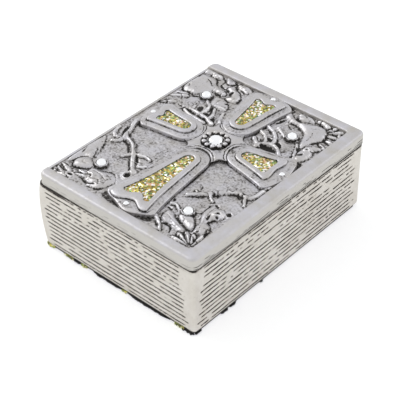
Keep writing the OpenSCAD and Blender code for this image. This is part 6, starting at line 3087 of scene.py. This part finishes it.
@dataclass
class Studio:
    """The floor, the lamps, the white surround and the camera.

    Attributes:
        azimuth: the camera's turn round the box, in degrees.
        elevation: its height over the floor, in degrees.
        roll: its turn about its own axis, in degrees.
        distance: from the origin, in metres.
        focal_px: focal length in pixels of the frame.
        frame_px: width of the frame in pixels.
        slide: the camera's shift to its right and up, in metres.
        sensor: width of its sensor.
        floor_side: the floor's side, in metres.
        surround: the light that the white surround gives, against how it is seen.
        floor_white: the floor's own brightness, next to what the lamps give it.
        paper: the floor's colour for the light that it sends back to the box.
        lit_paper, paper_glow: its colours where it is seen: the share that takes shadows, and
            the share that shines.
    """

    azimuth: float = 42.24
    elevation: float = 38.86
    roll: float = -0.97
    distance: float = 0.46854
    focal_px: float = 1204.0
    frame_px: float = 400.0
    slide: Point = (-0.00235, 0.00937)
    sensor: float = 36.0
    floor_side: float = 3.0
    surround: float = 0.75
    floor_white: float = 0.56
    paper: str = "F4F3F5"
    lit_paper: str = "D8DBD1"
    paper_glow: str = "F6F4FF"

    def camera(self) -> None:
        """Stands the camera at the photograph's angle."""
        az, el, roll = (math.radians(a) for a in (self.azimuth, self.elevation, self.roll))
        back = Vector((math.sin(az) * math.cos(el), -math.cos(az) * math.cos(el), math.sin(el)))
        level = (-back).cross(Vector((0, 0, 1))).normalized()
        rise = level.cross(-back)
        right = math.cos(roll) * level + math.sin(roll) * rise
        up = -math.sin(roll) * level + math.cos(roll) * rise
        data = bpy.data.cameras.new("camera")
        data.sensor_width = self.sensor
        data.lens = self.focal_px / self.frame_px * data.sensor_width
        data.clip_start = 0.01
        camera = bpy.data.objects.new("camera", data)
        bpy.context.scene.collection.objects.link(camera)
        place = Matrix((right, up, back)).transposed().to_4x4()
        place.translation = back * self.distance + right * self.slide[0] + up * self.slide[1]
        camera.matrix_world = place
        bpy.context.scene.camera = camera

    def floor(self) -> None:
        """Lays a plain pale floor that keeps the box's shadow."""
        deselect()
        bpy.ops.mesh.primitive_plane_add(size=self.floor_side, location=(0, 0, 0))
        plane = bpy.context.object
        plane.name = "floor"
        material, tree, surface = blank_material("pale_paper")
        path = node(tree, "LightPath")
        rays = (path.outputs[kind] for kind in ("Is Camera Ray", "Is Glossy Ray"))
        seen = maths(tree, "MAXIMUM", *rays)
        paper = node(tree, "BsdfDiffuse", inputs={"Color": colour(self.paper)}).outputs["BSDF"]
        # Seen directly it is white by its own colour, less what the box keeps from its grey share
        lit = node(tree, "BsdfDiffuse", inputs={"Color": colour(self.lit_paper)}).outputs["BSDF"]
        glow = {"Color": colour(self.paper_glow), "Strength": self.floor_white}
        white = node(tree, "Emission", inputs=glow).outputs["Emission"]
        shown = node(tree, "AddShader", inputs={0: lit, 1: white}).outputs["Shader"]
        mixed = node(tree, "MixShader", inputs={0: seen, 1: paper, 2: shown})
        tree.links.new(mixed.outputs["Shader"], surface)
        plane.data.materials.append(material)

    def world(self) -> None:
        """Surrounds the box with white, seen at full strength and giving less light."""
        world = bpy.data.worlds.new("studio")
        world.use_nodes = True
        tree = world.node_tree
        tree.nodes.clear()
        path = node(tree, "LightPath")
        seen = path.outputs["Is Camera Ray"]
        for other in ("Is Glossy Ray", "Is Transmission Ray"):
            seen = maths(tree, "MAXIMUM", seen, path.outputs[other])
        strength = remap(tree, seen, self.surround, 1.0)
        sky = node(tree, "Background", inputs={"Color": grey(1.0), "Strength": strength})
        output = node(tree, "OutputWorld")
        tree.links.new(sky.outputs["Background"], output.inputs["Surface"])
        bpy.context.scene.world = world

    def lamp(self, name: str, place: Sequence[float], size: float, power: float) -> None:
        """Hangs a soft box that faces the box.

        Args:
            name: the lamp's name.
            place: where it hangs, in metres.
            size: its side, in metres.
            power: its power, in watts.
        """
        data = bpy.data.lights.new(name, "AREA")
        data.shape = "SQUARE"
        data.size = size
        data.energy = power
        lamp = bpy.data.objects.new(name, data)
        lamp.location = place
        aim = Vector((0, 0, 0.02)) - Vector(place)
        lamp.rotation_euler = aim.to_track_quat("-Z", "Y").to_euler()
        bpy.context.scene.collection.objects.link(lamp)

    def build(self) -> None:
        """Sets the studio up."""
        self.camera()
        self.floor()
        self.world()
        self.lamp("key", place=(-0.75, -0.1, 0.6), size=0.5, power=2.4)
        self.lamp("side", place=(0.45, 0.75, 0.55), size=0.35, power=0.7)
        bpy.context.scene.view_settings.view_transform = "Standard"
        LOG.info("studio set")


# The layout


def cross_arms(sizes: Sizes, cross: Cross) -> tuple[Arm, ...]:
    """Lays out the cross's arms by how far their crystals lie from the cover's sides.

    Args:
        sizes: the box's sizes.
        cross: where the cross lies.

    Returns:
        The four arms, anticlockwise from the page side.
    """
    right, head = sizes.half_w - cross.x - 7.5, sizes.half_d - cross.y - 6.3
    left, foot = sizes.half_w + cross.x - 5.8, sizes.half_d + cross.y - 8.0
    return (
        Arm("right", 0, right, 4.5, 0.3, extra=0.7, lobe=0.6, nook=0.9, inner=1.0),
        Arm("head", 91, head, 4.7, 1.6, lobe=1.1, nook=1.3, inner=0.1),
        Arm("left", 180, left, 3.6, 1.3, lobe=0.8, nook=1.2, inner=0.3),
        Arm("foot", 268.8, foot, 6.0, 2.8, 0.0, 2.2, 2.7, 2.6, inner=1.5, waist=0.6, skew=0.15),
    )


def corner_crystals(sizes: Sizes) -> dict[str, Point]:
    """Gives the middles of the corner crystals.

    Args:
        sizes: the box's sizes.

    Returns:
        Each one's X and Y.
    """
    left, right = 13.4 - sizes.half_w, sizes.half_w - 19.6
    front, back = 19.4 - sizes.half_d, sizes.half_d - 20.4
    return {
        "front_left": (left, front),
        "front_right": (right, front),
        "back_left": (left, back),
        "back_right": (right, back),
    }


def main() -> None:
    """Builds the studio and every piece of the box in order."""
    logging.basicConfig(level=logging.INFO, format="%(name)s: %(message)s")
    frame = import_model()
    Studio().build()
    sizes = Sizes.from_frame()
    paints = Paintbox(sizes)
    cross = Cross(sizes)
    arms = cross_arms(sizes, cross)
    corners = corner_crystals(sizes)
    PageBlock(sizes).build(paints)
    CoverShell(sizes).build(paints)
    Relief(sizes, cross, arms, corners).build(paints)
    CrossRelief(cross, arms, corners).build(paints)
    Inlays(cross, arms).build(paints)
    Crystals(cross, arms, corners).build(paints)
    Linings(sizes).build(paints)
    Fringe(sizes).build(paints)
    for name in ("hinge_pin_front", "hinge_pin_back"):
        paints.dress_solid(frame["nodes"][name], Slot.PIN)
    for name in ("base_magnet", "cover_magnet"):
        paints.dress_solid(frame["nodes"][name], Slot.MAGNET)


if __name__ == "__main__":
    main()
